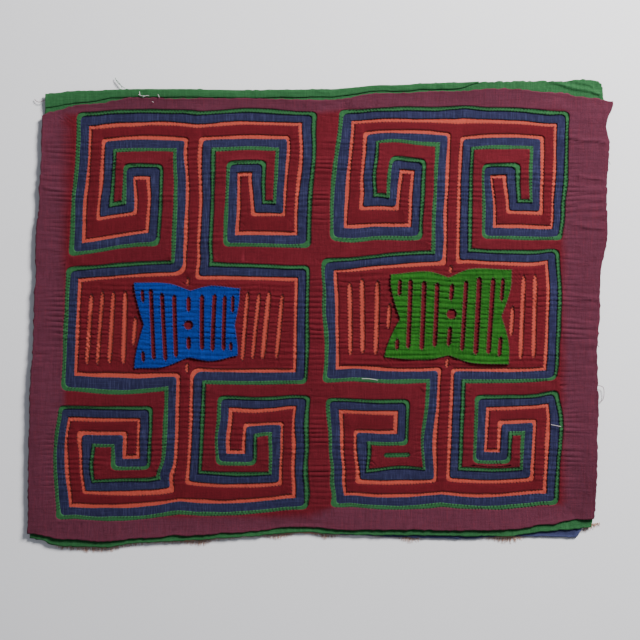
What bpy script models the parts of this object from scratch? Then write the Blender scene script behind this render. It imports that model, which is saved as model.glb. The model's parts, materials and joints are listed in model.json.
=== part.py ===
"""Mola panel: cotton cloths laid over one another and cut through from the front, lying flat.

From the bottom up: an orange base cloth, a navy cloth, a green cloth and a maroon ground cloth.
Windows cut in the upper three show two square spiral figures of maroon cloth, which lie on the
orange cloth, each with a waisted patch on its middle box. The green cloth's top is folded over
itself. The panel lies face up, +Y is its top edge, and the origin is under its middle.
"""

import math

import bmesh
import bpy

MM = 0.001
OBJECT_NAME = "mola_panel"

# Cloths: each is a sheet of this thickness, and lies this far over the one below.
THICK = 1.0 * MM
GAP = 0.3 * MM
LEVEL = {"orange": 0, "navy": 1, "figure": 1, "green": 2, "patch": 2, "maroon": 3}

# A cut line runs this far outside the middle line of the figure's path. Corners that point
# away from the path and corners in its crooks are rounded on their own radii.
CUTS = {
    "figure": {"off": 3.4 * MM, "outer": 0.0, "crook": 2.6 * MM},
    "navy": {"off": 6.1 * MM, "outer": 0.0, "crook": 2.2 * MM},
    "green": {"off": 12.2 * MM, "outer": 3.2 * MM, "crook": 0.0},
    "maroon": {"off": 14.6 * MM, "outer": 4.4 * MM, "crook": 0.0},
}
CORNER_STEPS = 2
LONGEST_EDGE = 24 * MM
# A corner cut back by less than this stays sharp, and none is cut back past this share of a side.
SMALLEST_CUT = 0.05 * MM
LONGEST_CUT = 0.45
# Points of one sheet nearer to each other than this, or to an edge, are taken as one or on it.
SAME_POINT = 0.01 * MM
ON_SIDE = 0.5 * MM
ON_TOP = 0.05 * MM

# The two figures: where each stem crosses the middle of its box, how much the figure leans to
# the right for each metre up, how far its edges bow out over each spiral, and how wide its
# bands are as a share of the offsets above.
UNITS = {
    "left": {"x": -92.5 * MM, "y": -9.5 * MM, "lean": 0.044, "bow": 2.4 * MM, "bands": 0.97},
    "right": {"x": 89.5 * MM, "y": -3.5 * MM, "lean": 0.036, "bow": 2.2 * MM, "bands": 0.93},
}

# One spiral arm in each quarter of a figure, in millimetres from the stem in the middle of the
# box: how far out the side of the box is, how far up its top is there and at the neck by the
# stem, how round the neck is, how far up the arm runs and how far out, where it turns back and
# where that run ends, how far its last run is from the stem, where that ends, and how much fatter
# the lower run is. The arm that doesn't curl ends at "hook" on its lower run.
ARM_COLUMNS = (
    "unit", "side", "rise", "wide", "box", "neck", "bend",
    "top", "reach", "low", "turn", "hook", "end", "fat", "curls",
)
ARMS = (
    ("left", -1, 1, 72.0, 27.5, 32.5, 8.0, 136.0, 71.0, 68.0, 73.0, 36.5, 99.0, 2.6, True),
    ("left", 1, 1, 70.5, 28.6, 29.4, 3.0, 136.5, 70.0, 71.0, 71.0, 36.0, 101.0, 1.9, True),
    ("left", -1, -1, 72.0, 29.5, 29.5, 3.0, 121.0, 74.5, 70.0, 70.0, 36.0, 86.0, 0.0, True),
    ("left", 1, -1, 70.5, 26.0, 26.0, 7.0, 115.0, 75.0, 63.5, 63.5, 38.0, 82.0, 0.0, True),
    ("right", -1, 1, 72.5, 28.5, 33.5, 3.0, 133.0, 68.5, 69.8, 69.8, 33.5, 96.0, 1.1, True),
    ("right", 1, 1, 64.0, 33.0, 33.2, 3.0, 130.2, 67.0, 68.0, 68.0, 34.0, 93.0, 0.3, True),
    ("right", -1, -1, 72.5, 31.0, 31.0, 3.0, 118.5, 67.0, 71.5, 71.5, 38.5, 0.0, 2.2, False),
    ("right", 1, -1, 64.0, 31.5, 31.5, 3.0, 117.0, 68.0, 67.5, 67.5, 34.5, 87.0, 0.3, True),
)

# Slits through the boxes of the figures, in millimetres from the stem in the middle of the box,
# and how far each leans to the right of the figure for each metre up.
SLIT_COLUMNS = ("unit", "x", "lean", "low", "high", "wide")
BOX_SLITS = (
    ("left", -68.5, 0.015, -28.0, 21.5, 3.1),
    ("left", -61.0, 0.020, -28.0, 23.5, 2.8),
    ("left", -53.0, 0.005, -27.0, 23.0, 3.2),
    ("left", -44.0, -0.025, -27.0, 23.5, 3.5),
    ("left", -36.8, 0.020, -14.5, 5.5, 3.0),
    ("left", 40.0, 0.055, -23.5, 24.5, 3.0),
    ("left", 47.5, 0.080, -22.5, 23.5, 2.9),
    ("left", 54.5, 0.080, -22.5, 24.5, 3.6),
    ("left", 64.0, 0.075, -22.0, 23.0, 2.9),
    ("left", -1.5, 0.0, 28.0, 34.0, 2.4),
    ("left", 1.5, 0.0, -33.0, -26.0, 2.8),
    ("right", -68.5, -0.020, -26.0, 24.5, 3.1),
    ("right", -60.0, -0.025, -25.0, 27.0, 3.5),
    ("right", -50.0, 0.005, -25.5, 25.5, 3.5),
    ("right", -41.6, 0.035, -8.0, 9.5, 3.0),
    ("right", 44.0, 0.005, -12.0, 9.0, 3.0),
    ("right", 51.0, -0.005, -28.5, 30.0, 3.2),
    ("right", 59.5, -0.020, -28.0, 30.5, 3.2),
    ("right", 0.0, 0.050, 30.5, 36.0, 2.4),
    ("right", 0.5, 0.045, -35.0, -28.0, 2.6),
)
SLIT_TIP = 6 * MM
# A slit's ends are this wide as a share of its middle, and its sides are in pieces this long.
SLIT_TIP_WIDE = 0.25
SLIT_STEP = 30 * MM

# The waisted patches, in millimetres from the stem in the middle of the box: their corners
# anticlockwise from the top right one, and the top, left, bottom and right sides between them.
# A side dips in at "middle", over a share "reach" of its length each way, and swells between.
PATCH_CORNERS = {
    "left": ((35.5, 26.5), (-39.0, 29.5), (-35.5, -30.0), (35.5, -20.0)),
    "right": ((42.0, 33.5), (-41.0, 29.5), (-44.0, -27.0), (43.0, -32.0)),
}
PATCH_SIDE_COLUMNS = ("unit", "dip", "middle", "reach", "swell")
PATCH_SIDES = (
    ("left", 3.2, 0.466, 0.20, 0.9),
    ("left", 6.8, 0.500, 0.50, 0.0),
    ("left", 2.6, 0.542, 0.22, 1.8),
    ("left", 2.6, 0.460, 0.40, 0.0),
    ("right", 3.8, 0.524, 0.17, 1.1),
    ("right", 8.6, 0.534, 0.46, 0.0),
    ("right", 3.6, 0.520, 0.20, 0.6),
    ("right", 6.2, 0.516, 0.35, 0.0),
)
PATCH_DIP_POWER = 1.5
PATCH_EDGE_STEPS = 14
PATCH_SLITS = (
    ("left", -32.4, -0.130, 15.5, 24.5, 2.3),
    ("left", -29.6, -0.100, -25.5, -18.0, 2.4),
    ("left", -24.5, -0.100, -24.0, 25.0, 2.8),
    ("left", -16.5, -0.110, -24.5, 22.5, 2.8),
    ("left", -8.6, -0.085, -22.0, 21.5, 2.9),
    ("left", 0.0, -0.060, 10.0, 20.5, 2.8),
    ("left", 1.5, -0.040, -16.5, -7.5, 2.9),
    ("left", 10.0, -0.050, -16.5, 22.0, 2.9),
    ("left", 18.0, -0.005, -17.0, 22.5, 2.9),
    ("left", 25.4, -0.015, -16.5, 21.5, 2.7),
    ("left", 31.0, -0.030, 10.0, 21.5, 2.2),
    ("left", 30.7, -0.025, -16.5, -10.5, 2.2),
    ("right", -34.8, 0.030, 14.5, 26.0, 2.5),
    ("right", -35.3, 0.015, -22.0, -14.5, 2.7),
    ("right", -27.5, 0.0, -21.0, 26.0, 3.0),
    ("right", -18.0, -0.005, -22.0, 25.0, 3.2),
    ("right", -9.0, -0.005, -20.0, 24.0, 3.0),
    ("right", 1.0, 0.035, 12.0, 23.5, 2.9),
    ("right", 1.0, 0.025, -19.5, -6.0, 2.9),
    ("right", 10.5, 0.010, -22.5, 25.5, 2.9),
    ("right", 19.8, 0.0, -25.0, 28.0, 3.4),
    ("right", 29.0, 0.015, -24.5, 27.5, 3.1),
    ("right", 36.0, 0.020, 12.0, 27.5, 2.5),
    ("right", 36.4, 0.030, -26.5, -12.5, 2.6),
)
PATCH_SLIT_TIP = 3 * MM
PATCH_EYES = {
    "left": {"x": 0.8 * MM, "y": 0.7 * MM, "radius": 3.2 * MM},
    "right": {"x": 1.7 * MM, "y": 2.6 * MM, "radius": 3.5 * MM},
}
PATCH_EYE_STEPS = 12

# A slit in the ground cloth, in the crook of the arm that has no hook.
GROUND_SLIT = {"x": -32.5 * MM, "y": -94.5 * MM, "half_long": 9.5 * MM, "half_wide": 1.7 * MM}

# Sides of the maroon ground cloth, and how far the lower cloths stand out past it.
TOP_COLUMNS = ("x", "edge", "green")
TOP = (
    (-206, 137.0, 15.5),
    (-165, 146.0, 9.5),
    (-130, 150.5, 6.0),
    (-96, 150.0, 6.5),
    (-53, 150.0, 5.8),
    (4, 149.0, 7.5),
    (45, 154.0, 5.2),
    (89, 155.0, 6.0),
    (132, 157.0, 5.2),
    (166, 154.0, 8.0),
    (187, 150.5, 13.0),
    (206, 147.5, 11.0),
)
BOTTOM_COLUMNS = ("x", "edge", "green", "navy", "orange")
BOTTOM = (
    (-206, -154.0, 2.0, 1.0, 3.0),
    (-180, -158.0, 3.8, 2.4, 6.6),
    (-152, -159.5, 3.4, 2.4, 6.2),
    (-125, -157.5, 2.2, 1.8, 4.6),
    (-96, -155.5, 2.6, 2.0, 6.2),
    (-60, -153.5, 2.4, 3.2, 4.8),
    (-14, -149.5, 2.6, 4.0, 6.6),
    (20, -151.5, 2.6, 4.2, 5.2),
    (60, -151.5, 2.8, 6.0, 6.8),
    (100, -152.0, 2.8, 6.4, 5.0),
    (132, -151.5, 3.6, 5.0, 7.6),
    (158, -148.0, 3.6, 9.0, 4.6),
    (179, -144.5, 5.2, 13.0, 6.0),
    (186, -144.0, 5.2, 2.6, 6.4),
    (206, -143.0, 5.2, 2.6, 5.4),
)
SIDE_COLUMNS = ("y", "left", "right")
SIDES = (
    (158, -194.0, 198.5),
    (150, -193.5, 199.0),
    (147, -193.5, 204.0),
    (131, -194.5, 199.5),
    (118, -195.0, 201.5),
    (82, -196.5, 199.5),
    (52, -198.5, 200.0),
    (30, -199.0, 195.5),
    (5, -200.0, 195.0),
    (-21, -201.0, 193.5),
    (-68, -203.0, 194.0),
    (-110, -204.0, 193.0),
    (-160, -204.5, 191.0),
)
# How far each lower cloth stops short of the maroon one at the sides, and of the green one
# at the top.
SIDE_INSET = {"maroon": 0.0, "green": 1.2 * MM, "navy": 2.6 * MM, "orange": 2.0 * MM}
TOP_INSET = {"green": 0.0, "navy": 2.4 * MM, "orange": 3.4 * MM}
TOP_CORNER = {"maroon": 147 * MM, "green": 158 * MM, "navy": 158 * MM, "orange": 158 * MM}
SIDE_STEP = 17 * MM
EDGE_STEP = 10 * MM

# The green cloth's top is turned forward over itself, as wide as this at each place.
FLAP_COLUMNS = ("x", "wide")
FLAP = (
    (-206, 10.8),
    (-165, 8.0),
    (-145, 5.6),
    (0, 5.2),
    (40, 3.9),
    (90, 4.2),
    (112, 3.4),
)
FLAP_END = 112 * MM
FOLD_STEPS = 4

# The side edges of the ground cloth lift a little, most at "at" and less over "spread" each way.
LIFTS = (
    {"side": 1, "height": 1.4 * MM, "at": 70 * MM, "spread": 60 * MM},
    {"side": 1, "height": 1.0 * MM, "at": -110 * MM, "spread": 40 * MM},
    {"side": -1, "height": 0.8 * MM, "at": -60 * MM, "spread": 70 * MM},
)

# Uneven handwork: slow waves that every cut follows, each crossed by a second one at these
# shares of its own steepness.
CROSSED_X = 2.3
CROSSED_Y = -3.1
WAVES = (
    {"along_x": 9.1, "along_y": 5.3, "phase": 0.4, "move_x": 0.55 * MM, "move_y": -0.35 * MM},
    {"along_x": -6.7, "along_y": 11.9, "phase": 2.1, "move_x": -0.35 * MM, "move_y": 0.50 * MM},
    {"along_x": 17.3, "along_y": 14.1, "phase": 4.6, "move_x": 0.25 * MM, "move_y": 0.30 * MM},
)

# Where the cloths were drawn away from the even figure: the place and how far round it this
# reaches across and up, how far to the right and how far up, in millimetres.
NUDGE_COLUMNS = ("x", "y", "wide", "high", "right", "up")
NUDGES = (
    (-91.5, 114.0, 17.0, 20.0, -3.2, 1.0),
    (-154.0, 140.0, 22.0, 7.0, 0.0, 1.5),
    (-91.5, 140.0, 14.0, 6.0, 0.0, 1.2),
    (-13.0, 131.5, 14.0, 14.0, -3.0, 1.5),
    (-15.0, 80.0, 12.0, 28.0, -2.4, 0.0),
    (-165.5, 79.0, 12.0, 20.0, -1.4, 0.0),
    (-115.0, 49.5, 11.0, 5.0, 0.0, -1.6),
    (-125.5, 96.0, 10.0, 10.0, -2.1, 0.0),
    (-46.0, 96.5, 8.0, 12.0, -2.0, 0.0),
    (-46.5, 69.5, 8.0, 9.0, 1.5, 0.0),
    (-78.0, 36.0, 12.0, 7.0, 1.2, 1.2),
    (-144.0, -53.5, 42.0, 8.0, 0.0, -4.0),
    (-104.0, -119.0, 8.0, 8.0, -1.0, 1.5),
    (-183.0, -68.0, 9.0, 10.0, 1.4, 0.0),
    (-180.0, -100.0, 9.0, 18.0, -2.1, 0.0),
    (-181.0, -140.0, 12.0, 12.0, 2.2, 0.0),
    (-168.0, -87.0, 8.0, 13.0, -2.4, 0.0),
    (-167.5, -124.0, 7.0, 9.0, 1.2, 0.0),
    (-159.0, -106.5, 8.0, 12.0, -1.8, 0.0),
    (-134.0, -122.0, 22.0, 9.0, 0.0, 2.1),
    (-111.0, -117.0, 8.0, 9.0, -3.0, 0.6),
    (-15.0, -76.0, 12.0, 20.0, -3.4, 0.0),
    (-15.0, -66.0, 22.0, 10.0, 0.0, 2.4),
    (-63.0, -65.0, 12.0, 10.0, -1.4, 1.5),
    (-16.0, -108.0, 11.0, 12.0, -1.8, 0.0),
    (-67.0, -88.0, 10.0, 14.0, -2.4, 0.0),
    (-36.0, -87.5, 9.0, 8.0, -1.5, 2.0),
    (10.0, 85.0, 8.0, 42.0, -3.2, 0.0),
    (24.0, 52.0, 14.0, 8.0, 0.0, -2.6),
    (60.0, 52.0, 20.0, 5.0, 0.0, -1.6),
    (96.5, 139.0, 14.0, 7.0, 0.0, 3.4),
    (30.0, 132.0, 24.0, 12.0, 0.4, 0.8),
    (55.0, 98.0, 8.0, 12.0, 1.0, 0.0),
    (46.0, 112.0, 16.0, 13.0, 2.0, 2.2),
    (38.0, 81.0, 10.0, 10.0, 1.8, 1.4),
    (7.0, 28.0, 10.0, 14.0, -2.6, 0.0),
    (4.0, 2.0, 10.0, 14.0, -1.6, 0.0),
    (170.0, 74.0, 13.0, 16.0, -2.0, 0.0),
    (171.5, 53.0, 12.0, 11.0, -3.4, 0.0),
    (128.0, 95.5, 12.0, 13.0, -3.0, 0.0),
    (164.0, 36.0, 12.0, 12.0, -2.2, 2.4),
    (102.0, 38.0, 12.0, 12.0, 0.0, 1.4),
    (28.0, -41.0, 16.0, 8.0, 0.0, 1.6),
    (8.0, -64.0, 11.0, 14.0, -3.0, 0.0),
    (8.0, -110.0, 11.0, 10.0, 2.0, 0.0),
    (9.0, -130.0, 14.0, 11.0, 4.4, -1.0),
    (24.0, -114.0, 8.0, 12.0, 2.8, 0.0),
    (32.5, -96.0, 7.0, 12.0, 2.4, 0.0),
    (56.0, -111.5, 18.0, 7.0, 0.0, 3.4),
    (75.0, -90.0, 8.0, 17.0, -2.6, 0.0),
    (167.5, -58.0, 12.0, 12.0, -3.4, 2.4),
    (169.0, -84.0, 10.0, 22.0, 1.6, 0.0),
)

COLOURS = {
    "orange_base_cloth": (0.62, 0.13, 0.07),
    "navy_cloth": (0.035, 0.045, 0.13),
    "green_cloth": (0.04, 0.20, 0.07),
    "maroon_ground_cloth": (0.16, 0.022, 0.04),
    "left_figure": (0.17, 0.012, 0.022),
    "right_figure": (0.17, 0.012, 0.022),
    "blue_patch": (0.006, 0.05, 0.30),
    "green_patch": (0.03, 0.16, 0.02),
}
ROUGHNESS = 0.85


def rows_of(columns, table):
    """The rows of a table as dictionaries."""
    return [dict(zip(columns, row)) for row in table]


def read_at(rows, key, place, column):
    """A column of a table between two rows, eased from one to the next."""
    ordered = sorted(rows, key=lambda row: row[key])
    place = place / MM
    if place <= ordered[0][key]:
        return ordered[0][column] * MM
    for before, after in zip(ordered, ordered[1:]):
        if place <= after[key]:
            share = (place - before[key]) / (after[key] - before[key])
            eased = share * share * (3 - 2 * share)
            return (before[column] + (after[column] - before[column]) * eased) * MM
    return ordered[-1][column] * MM


def evenly(start, stop, step):
    """Numbers from start to stop, both included, about one step apart."""
    count = max(1, round(abs(stop - start) / step))
    return [start + (stop - start) * i / count for i in range(count + 1)]


def waved(x, y):
    """A point of the pattern moved by the slow waves of the handwork and the nudges."""
    moved_x, moved_y = x, y
    for wave in WAVES:
        height = math.sin(wave["along_x"] * x + wave["along_y"] * y + wave["phase"])
        height += math.sin(CROSSED_X * wave["along_y"] * x + CROSSED_Y * wave["along_x"] * y)
        moved_x += wave["move_x"] * height
        moved_y += wave["move_y"] * height
    for nudge in rows_of(NUDGE_COLUMNS, NUDGES):
        far_x = (x - nudge["x"] * MM) / (nudge["wide"] * MM)
        far_y = (y - nudge["y"] * MM) / (nudge["high"] * MM)
        near = math.exp(-(far_x**2) - far_y**2)
        moved_x += nudge["right"] * MM * near
        moved_y += nudge["up"] * MM * near
    return moved_x, moved_y


def arm_corners(arm, off):
    """Corners of a cut line along one arm, from the side of the box to the arm's far corner.

    Each is given with how round it is, or 0 where it is as round as the other corners."""
    wide, box, neck, bend, top = (arm[name] * MM for name in ("wide", "box", "neck", "bend", "top"))
    reach, low, turn, hook, end = (
        arm[name] * MM for name in ("reach", "low", "turn", "hook", "end")
    )
    low_off = off + arm["fat"] * MM

    def box_top(u):
        return neck + (box - neck) * u / wide

    def low_run(u):
        return low + (turn - low) * (reach - u) / (reach - hook)

    corners = [
        (wide + off, box_top(wide + off) + off, 0.0),
        (off, box_top(off) + off, bend),
        (off, top - off, 0.0),
        (reach - off, top - off, 0.0),
        (reach - off, low_run(reach - off) + low_off, 0.0),
    ]
    if arm["curls"]:
        corners += [
            (hook + off, low_run(hook + off) + low_off, 0.0),
            (hook + off, end + off, 0.0),
            (hook - off, end + off, 0.0),
        ]
    else:
        corners.append((hook - off, low_run(hook - off) + low_off, 0.0))
    corners += [
        (hook - off, low_run(hook - off) - low_off, 0.0),
        (reach + off, low_run(reach + off) - low_off, 0.0),
        (reach + off, top + off, 0.0),
    ]
    return [(arm["side"] * u, arm["rise"] * v, round_by) for u, v, round_by in corners]


def cut_corners(unit, off):
    """Corners of one closed cut line round a whole figure, anticlockwise."""
    arms = {
        (arm["side"], arm["rise"]): arm_corners(arm, off)
        for arm in rows_of(ARM_COLUMNS, ARMS)
        if arm["unit"] == unit
    }
    return arms[1, 1] + arms[-1, 1][::-1] + arms[-1, -1] + arms[1, -1][::-1]


def eased_between(start, corner, stop, share):
    """A point of the curve from start to stop that bends towards the corner between them."""
    from_start, from_corner, from_stop = (1 - share) ** 2, 2 * share * (1 - share), share**2
    return tuple(
        from_start * a + from_corner * b + from_stop * c for a, b, c in zip(start, corner, stop)
    )


def rounded(corners, outer, crook, narrower):
    """An anticlockwise outline with its outer corners, its crooks and its necks rounded."""
    points = []
    for before, here, after in zip(corners[-1:] + corners, corners, corners[1:] + corners[:1]):
        into = (here[0] - before[0], here[1] - before[1])
        away = (after[0] - here[0], after[1] - here[1])
        across = into[0] * away[1] - into[1] * away[0]
        along = into[0] * away[0] + into[1] * away[1]
        turn = math.atan2(across, along)
        radius = max(outer if turn > 0 else crook, here[2] - narrower)
        cut = radius * abs(math.tan(turn / 2))
        if cut < SMALLEST_CUT:
            points.append(here[:2])
            continue
        cut = min(cut, LONGEST_CUT * math.hypot(*into), LONGEST_CUT * math.hypot(*away))
        start = tuple(h - cut * d / math.hypot(*into) for h, d in zip(here, into))
        stop = tuple(h + cut * d / math.hypot(*away) for h, d in zip(here, away))
        for i in range(CORNER_STEPS + 1):
            points.append(eased_between(start, here[:2], stop, i / CORNER_STEPS))
    return points


def divided(points, longest):
    """A closed outline with its long edges divided."""
    found = []
    for here, after in zip(points, points[1:] + points[:1]):
        count = max(1, math.ceil(math.hypot(after[0] - here[0], after[1] - here[1]) / longest))
        for i in range(count):
            share = i / count
            found.append(tuple(a + (b - a) * share for a, b in zip(here, after)))
    return found


def placed(unit, points):
    """Points of a figure, given from the middle of its box, moved to their place in the panel."""
    figure = UNITS[unit]
    arms = [arm for arm in rows_of(ARM_COLUMNS, ARMS) if arm["unit"] == unit]
    found = []
    for u, v in points:
        arm = next(a for a in arms if a["side"] * u >= 0 and a["rise"] * v >= 0)
        across = min(1.0, abs(u) / (arm["reach"] * MM))
        bow = figure["bow"] * math.sin(math.pi * across) * v / (arm["top"] * MM)
        found.append(waved(figure["x"] + u + figure["lean"] * v, figure["y"] + v + bow))
    return found


def cut_line(unit, layer):
    """The outline of one layer's cut round a figure, in its place in the panel."""
    cut = CUTS[layer]
    off = cut["off"] * UNITS[unit]["bands"]
    narrower = max(0.0, cut["off"] - CUTS["navy"]["off"])
    corners = rounded(cut_corners(unit, off), cut["outer"], cut["crook"], narrower)
    return placed(unit, divided(corners, LONGEST_EDGE))


def slit(low, high, wide, tip):
    """A narrow upright slit round x = 0, with ends that come to a blunt tip."""
    tip = min(tip, 0.4 * (high - low))
    half = wide / 2
    right = [(SLIT_TIP_WIDE * half, low), (half, low + tip)]
    right += [(half, y) for y in evenly(low + tip, high - tip, SLIT_STEP)[1:]]
    right += [(SLIT_TIP_WIDE * half, high)]
    return right + [(-x, y) for x, y in reversed(right)]


def slits_of(unit, table, tip):
    """Outlines of the slits in a table, round the middle of a figure's box."""
    found = []
    for row in rows_of(SLIT_COLUMNS, table):
        if row["unit"] == unit:
            outline = slit(row["low"] * MM, row["high"] * MM, row["wide"] * MM, tip)
            middle = (row["low"] + row["high"]) / 2 * MM
            found.append([(row["x"] * MM + row["lean"] * (y - middle) + x, y) for x, y in outline])
    return found


def box_slits(unit):
    """Outlines of the slits through the box of a figure."""
    return [placed(unit, outline) for outline in slits_of(unit, BOX_SLITS, SLIT_TIP)]


def patch_side(start, stop, side):
    """Points along one side of a patch, moved in where it dips and out where it swells."""
    length = math.hypot(stop[0] - start[0], stop[1] - start[1])
    inward = ((start[1] - stop[1]) / length, (stop[0] - start[0]) / length)
    points = []
    for i in range(PATCH_EDGE_STEPS):
        share = i / PATCH_EDGE_STEPS
        near = max(0.0, 1 - abs(share - side["middle"]) / side["reach"])
        depth = side["dip"] * near**PATCH_DIP_POWER
        depth -= side["swell"] * math.sin(math.tau * share) ** 2
        points.append(tuple((a + (b - a) * share + depth * n) * MM for a, b, n in zip(start, stop, inward)))
    return points


def patch_outlines(unit):
    """The outline of a waisted patch, and those of the slits and the eye through it."""
    corners = PATCH_CORNERS[unit]
    sides = [side for side in rows_of(PATCH_SIDE_COLUMNS, PATCH_SIDES) if side["unit"] == unit]
    outline = []
    for start, stop, side in zip(corners, corners[1:] + corners[:1], sides):
        outline += patch_side(start, stop, side)
    eye = PATCH_EYES[unit]
    turns = [math.tau * i / PATCH_EYE_STEPS for i in range(PATCH_EYE_STEPS)]
    round_eye = [
        (eye["x"] + eye["radius"] * math.cos(turn), eye["y"] + eye["radius"] * math.sin(turn))
        for turn in turns
    ]
    shapes = [outline, *slits_of(unit, PATCH_SLITS, PATCH_SLIT_TIP), round_eye]
    return [placed(unit, shape) for shape in shapes]


def ground_slit():
    """The outline of the slit in the ground cloth, lying along X."""
    row = GROUND_SLIT
    upright = slit(-row["half_long"], row["half_long"], 2 * row["half_wide"], row["half_wide"])
    return placed("right", [(row["x"] - y, row["y"] + x) for x, y in upright])


def top_edge(cloth, x):
    """The height in the panel of a cloth's top edge."""
    rows = rows_of(TOP_COLUMNS, TOP)
    edge = read_at(rows, "x", x, "edge")
    if cloth == "maroon":
        return edge
    return edge + read_at(rows, "x", x, "green") - TOP_INSET[cloth]


def bottom_edge(cloth, x):
    """The height in the panel of a cloth's bottom edge."""
    rows = rows_of(BOTTOM_COLUMNS, BOTTOM)
    edge = read_at(rows, "x", x, "edge")
    return edge if cloth == "maroon" else edge - read_at(rows, "x", x, cloth)


def cloth_outline(cloth):
    """The outer outline of a cloth, clockwise from its top left corner."""
    rows = rows_of(SIDE_COLUMNS, SIDES)
    inset = SIDE_INSET[cloth]

    def left(y):
        return read_at(rows, "y", y, "left") + inset

    def right(y):
        return read_at(rows, "y", y, "right") - inset

    high, low = TOP_CORNER[cloth], SIDES[-1][0] * MM
    top = [(x, top_edge(cloth, x)) for x in evenly(left(high), right(high), EDGE_STEP)]
    bottom = [(x, bottom_edge(cloth, x)) for x in evenly(right(low), left(low), EDGE_STEP)]
    down = [(right(y), y) for y in evenly(top[-1][1], bottom[0][1], SIDE_STEP)[1:-1]]
    up = [(left(y), y) for y in evenly(bottom[-1][1], top[0][1], SIDE_STEP)[1:-1]]
    return top + down + bottom + up


def middle_of(outlines):
    """The middle of the box round some outlines."""
    xs = [x for outline in outlines for x, _ in outline]
    ys = [y for outline in outlines for _, y in outline]
    return (min(xs) + max(xs)) / 2, (min(ys) + max(ys)) / 2


def material_for(name):
    """A plain cotton material in the piece's colour."""
    material = bpy.data.materials.new(name)
    material.use_nodes = True
    shader = material.node_tree.nodes["Principled BSDF"]
    shader.inputs["Base Color"].default_value = (*COLOURS[name], 1.0)
    shader.inputs["Roughness"].default_value = ROUGHNESS
    shader.inputs["Metallic"].default_value = 0.0
    return material


def flat_curve(name, outlines, middle):
    """A filled flat curve of an outline and the holes in it."""
    curve = bpy.data.curves.new(name, "CURVE")
    curve.dimensions = "2D"
    curve.fill_mode = "BOTH"
    for outline in outlines:
        spline = curve.splines.new("POLY")
        spline.points.add(len(outline) - 1)
        for point, (x, y) in zip(spline.points, outline):
            point.co = (x - middle[0], y - middle[1], 0.0, 1.0)
        spline.use_cyclic_u = True
    return curve


def middle_height(layer):
    """The height of the middle of a layer's thickness."""
    return LEVEL[layer] * (THICK + GAP) + THICK / 2


def add_piece(name, layer, outlines, middle, home):
    """A flat piece of cloth: its filled outline, as thick as the cloth."""
    curve = flat_curve(name, outlines, middle)
    curve.extrude = THICK / 2
    piece = bpy.data.objects.new(name, curve)
    piece.location.z = middle_height(layer)
    piece.data.materials.append(material_for(name))
    home.objects.link(piece)
    return piece


def sheet_surface(name, outlines, middle):
    """The filled outline of a sheet as an open mesh surface."""
    guide = bpy.data.objects.new(name + "_outline", flat_curve(name + "_outline", outlines, middle))
    bpy.context.scene.collection.objects.link(guide)
    evaluated = guide.evaluated_get(bpy.context.evaluated_depsgraph_get())
    mesh = bpy.data.meshes.new_from_object(evaluated)
    bpy.data.objects.remove(guide)
    mesh.name = name
    surface = bmesh.new()
    surface.from_mesh(mesh)
    bmesh.ops.remove_doubles(surface, verts=surface.verts, dist=SAME_POINT)
    return mesh, surface


def add_sheet(name, layer, outlines, middle, home, shape=None):
    """A sheet of cloth: an open surface with its own folds, made as thick as the cloth."""
    mesh, surface = sheet_surface(name, outlines, middle)
    if shape:
        shape(surface, middle)
    surface.to_mesh(mesh)
    surface.free()
    mesh.materials.clear()
    mesh.materials.append(material_for(name))
    piece = bpy.data.objects.new(name, mesh)
    piece.location.z = middle_height(layer)
    home.objects.link(piece)
    solidify = piece.modifiers.new("thickness", "SOLIDIFY")
    solidify.thickness = THICK
    solidify.offset = 0.0
    return piece


def lift_sides(surface, middle):
    """Lifts the loose side edges of the ground cloth."""
    for vert in surface.verts:
        x, y = vert.co.x + middle[0], vert.co.y + middle[1]
        for lift in LIFTS:
            edge = read_at(rows_of(SIDE_COLUMNS, SIDES), "y", y, "right" if lift["side"] > 0 else "left")
            if abs(x - edge) < ON_SIDE:
                vert.co.z += lift["height"] * math.exp(-(((y - lift["at"]) / lift["spread"]) ** 2))


def fold_path(width):
    """The path of the fold's section: round the crease, then back over the cloth."""
    radius = (THICK + GAP) / 2
    turn = [
        (radius * math.sin(math.pi * i / FOLD_STEPS), radius - radius * math.cos(math.pi * i / FOLD_STEPS))
        for i in range(1, FOLD_STEPS + 1)
    ]
    return [(0.0, 0.0), *turn, (-0.5 * width, 2 * radius), (-width, 2 * radius)]


def fold_top_over(surface, middle):
    """Turns the top edge of the green cloth forward over itself, as far as the flap goes."""
    flap = rows_of(FLAP_COLUMNS, FLAP)

    def on_fold(vert):
        x, y = vert.co.x + middle[0], vert.co.y + middle[1]
        return x < FLAP_END and abs(y - top_edge("green", x)) < ON_TOP

    edges = [e for e in surface.edges if e.is_boundary and all(on_fold(v) for v in e.verts)]
    for step in range(1, len(fold_path(0.0))):
        made = bmesh.ops.extrude_edge_only(surface, edges=edges)["geom"]
        verts = [item for item in made if isinstance(item, bmesh.types.BMVert)]
        edges = [
            item
            for item in made
            if isinstance(item, bmesh.types.BMEdge) and all(v in verts for v in item.verts)
        ]
        for vert in verts:
            path = fold_path(read_at(flap, "x", vert.co.x + middle[0], "wide"))
            vert.co.y += path[step][0] - path[step - 1][0]
            vert.co.z += path[step][1] - path[step - 1][1]
    bmesh.ops.recalc_face_normals(surface, faces=surface.faces)


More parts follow.
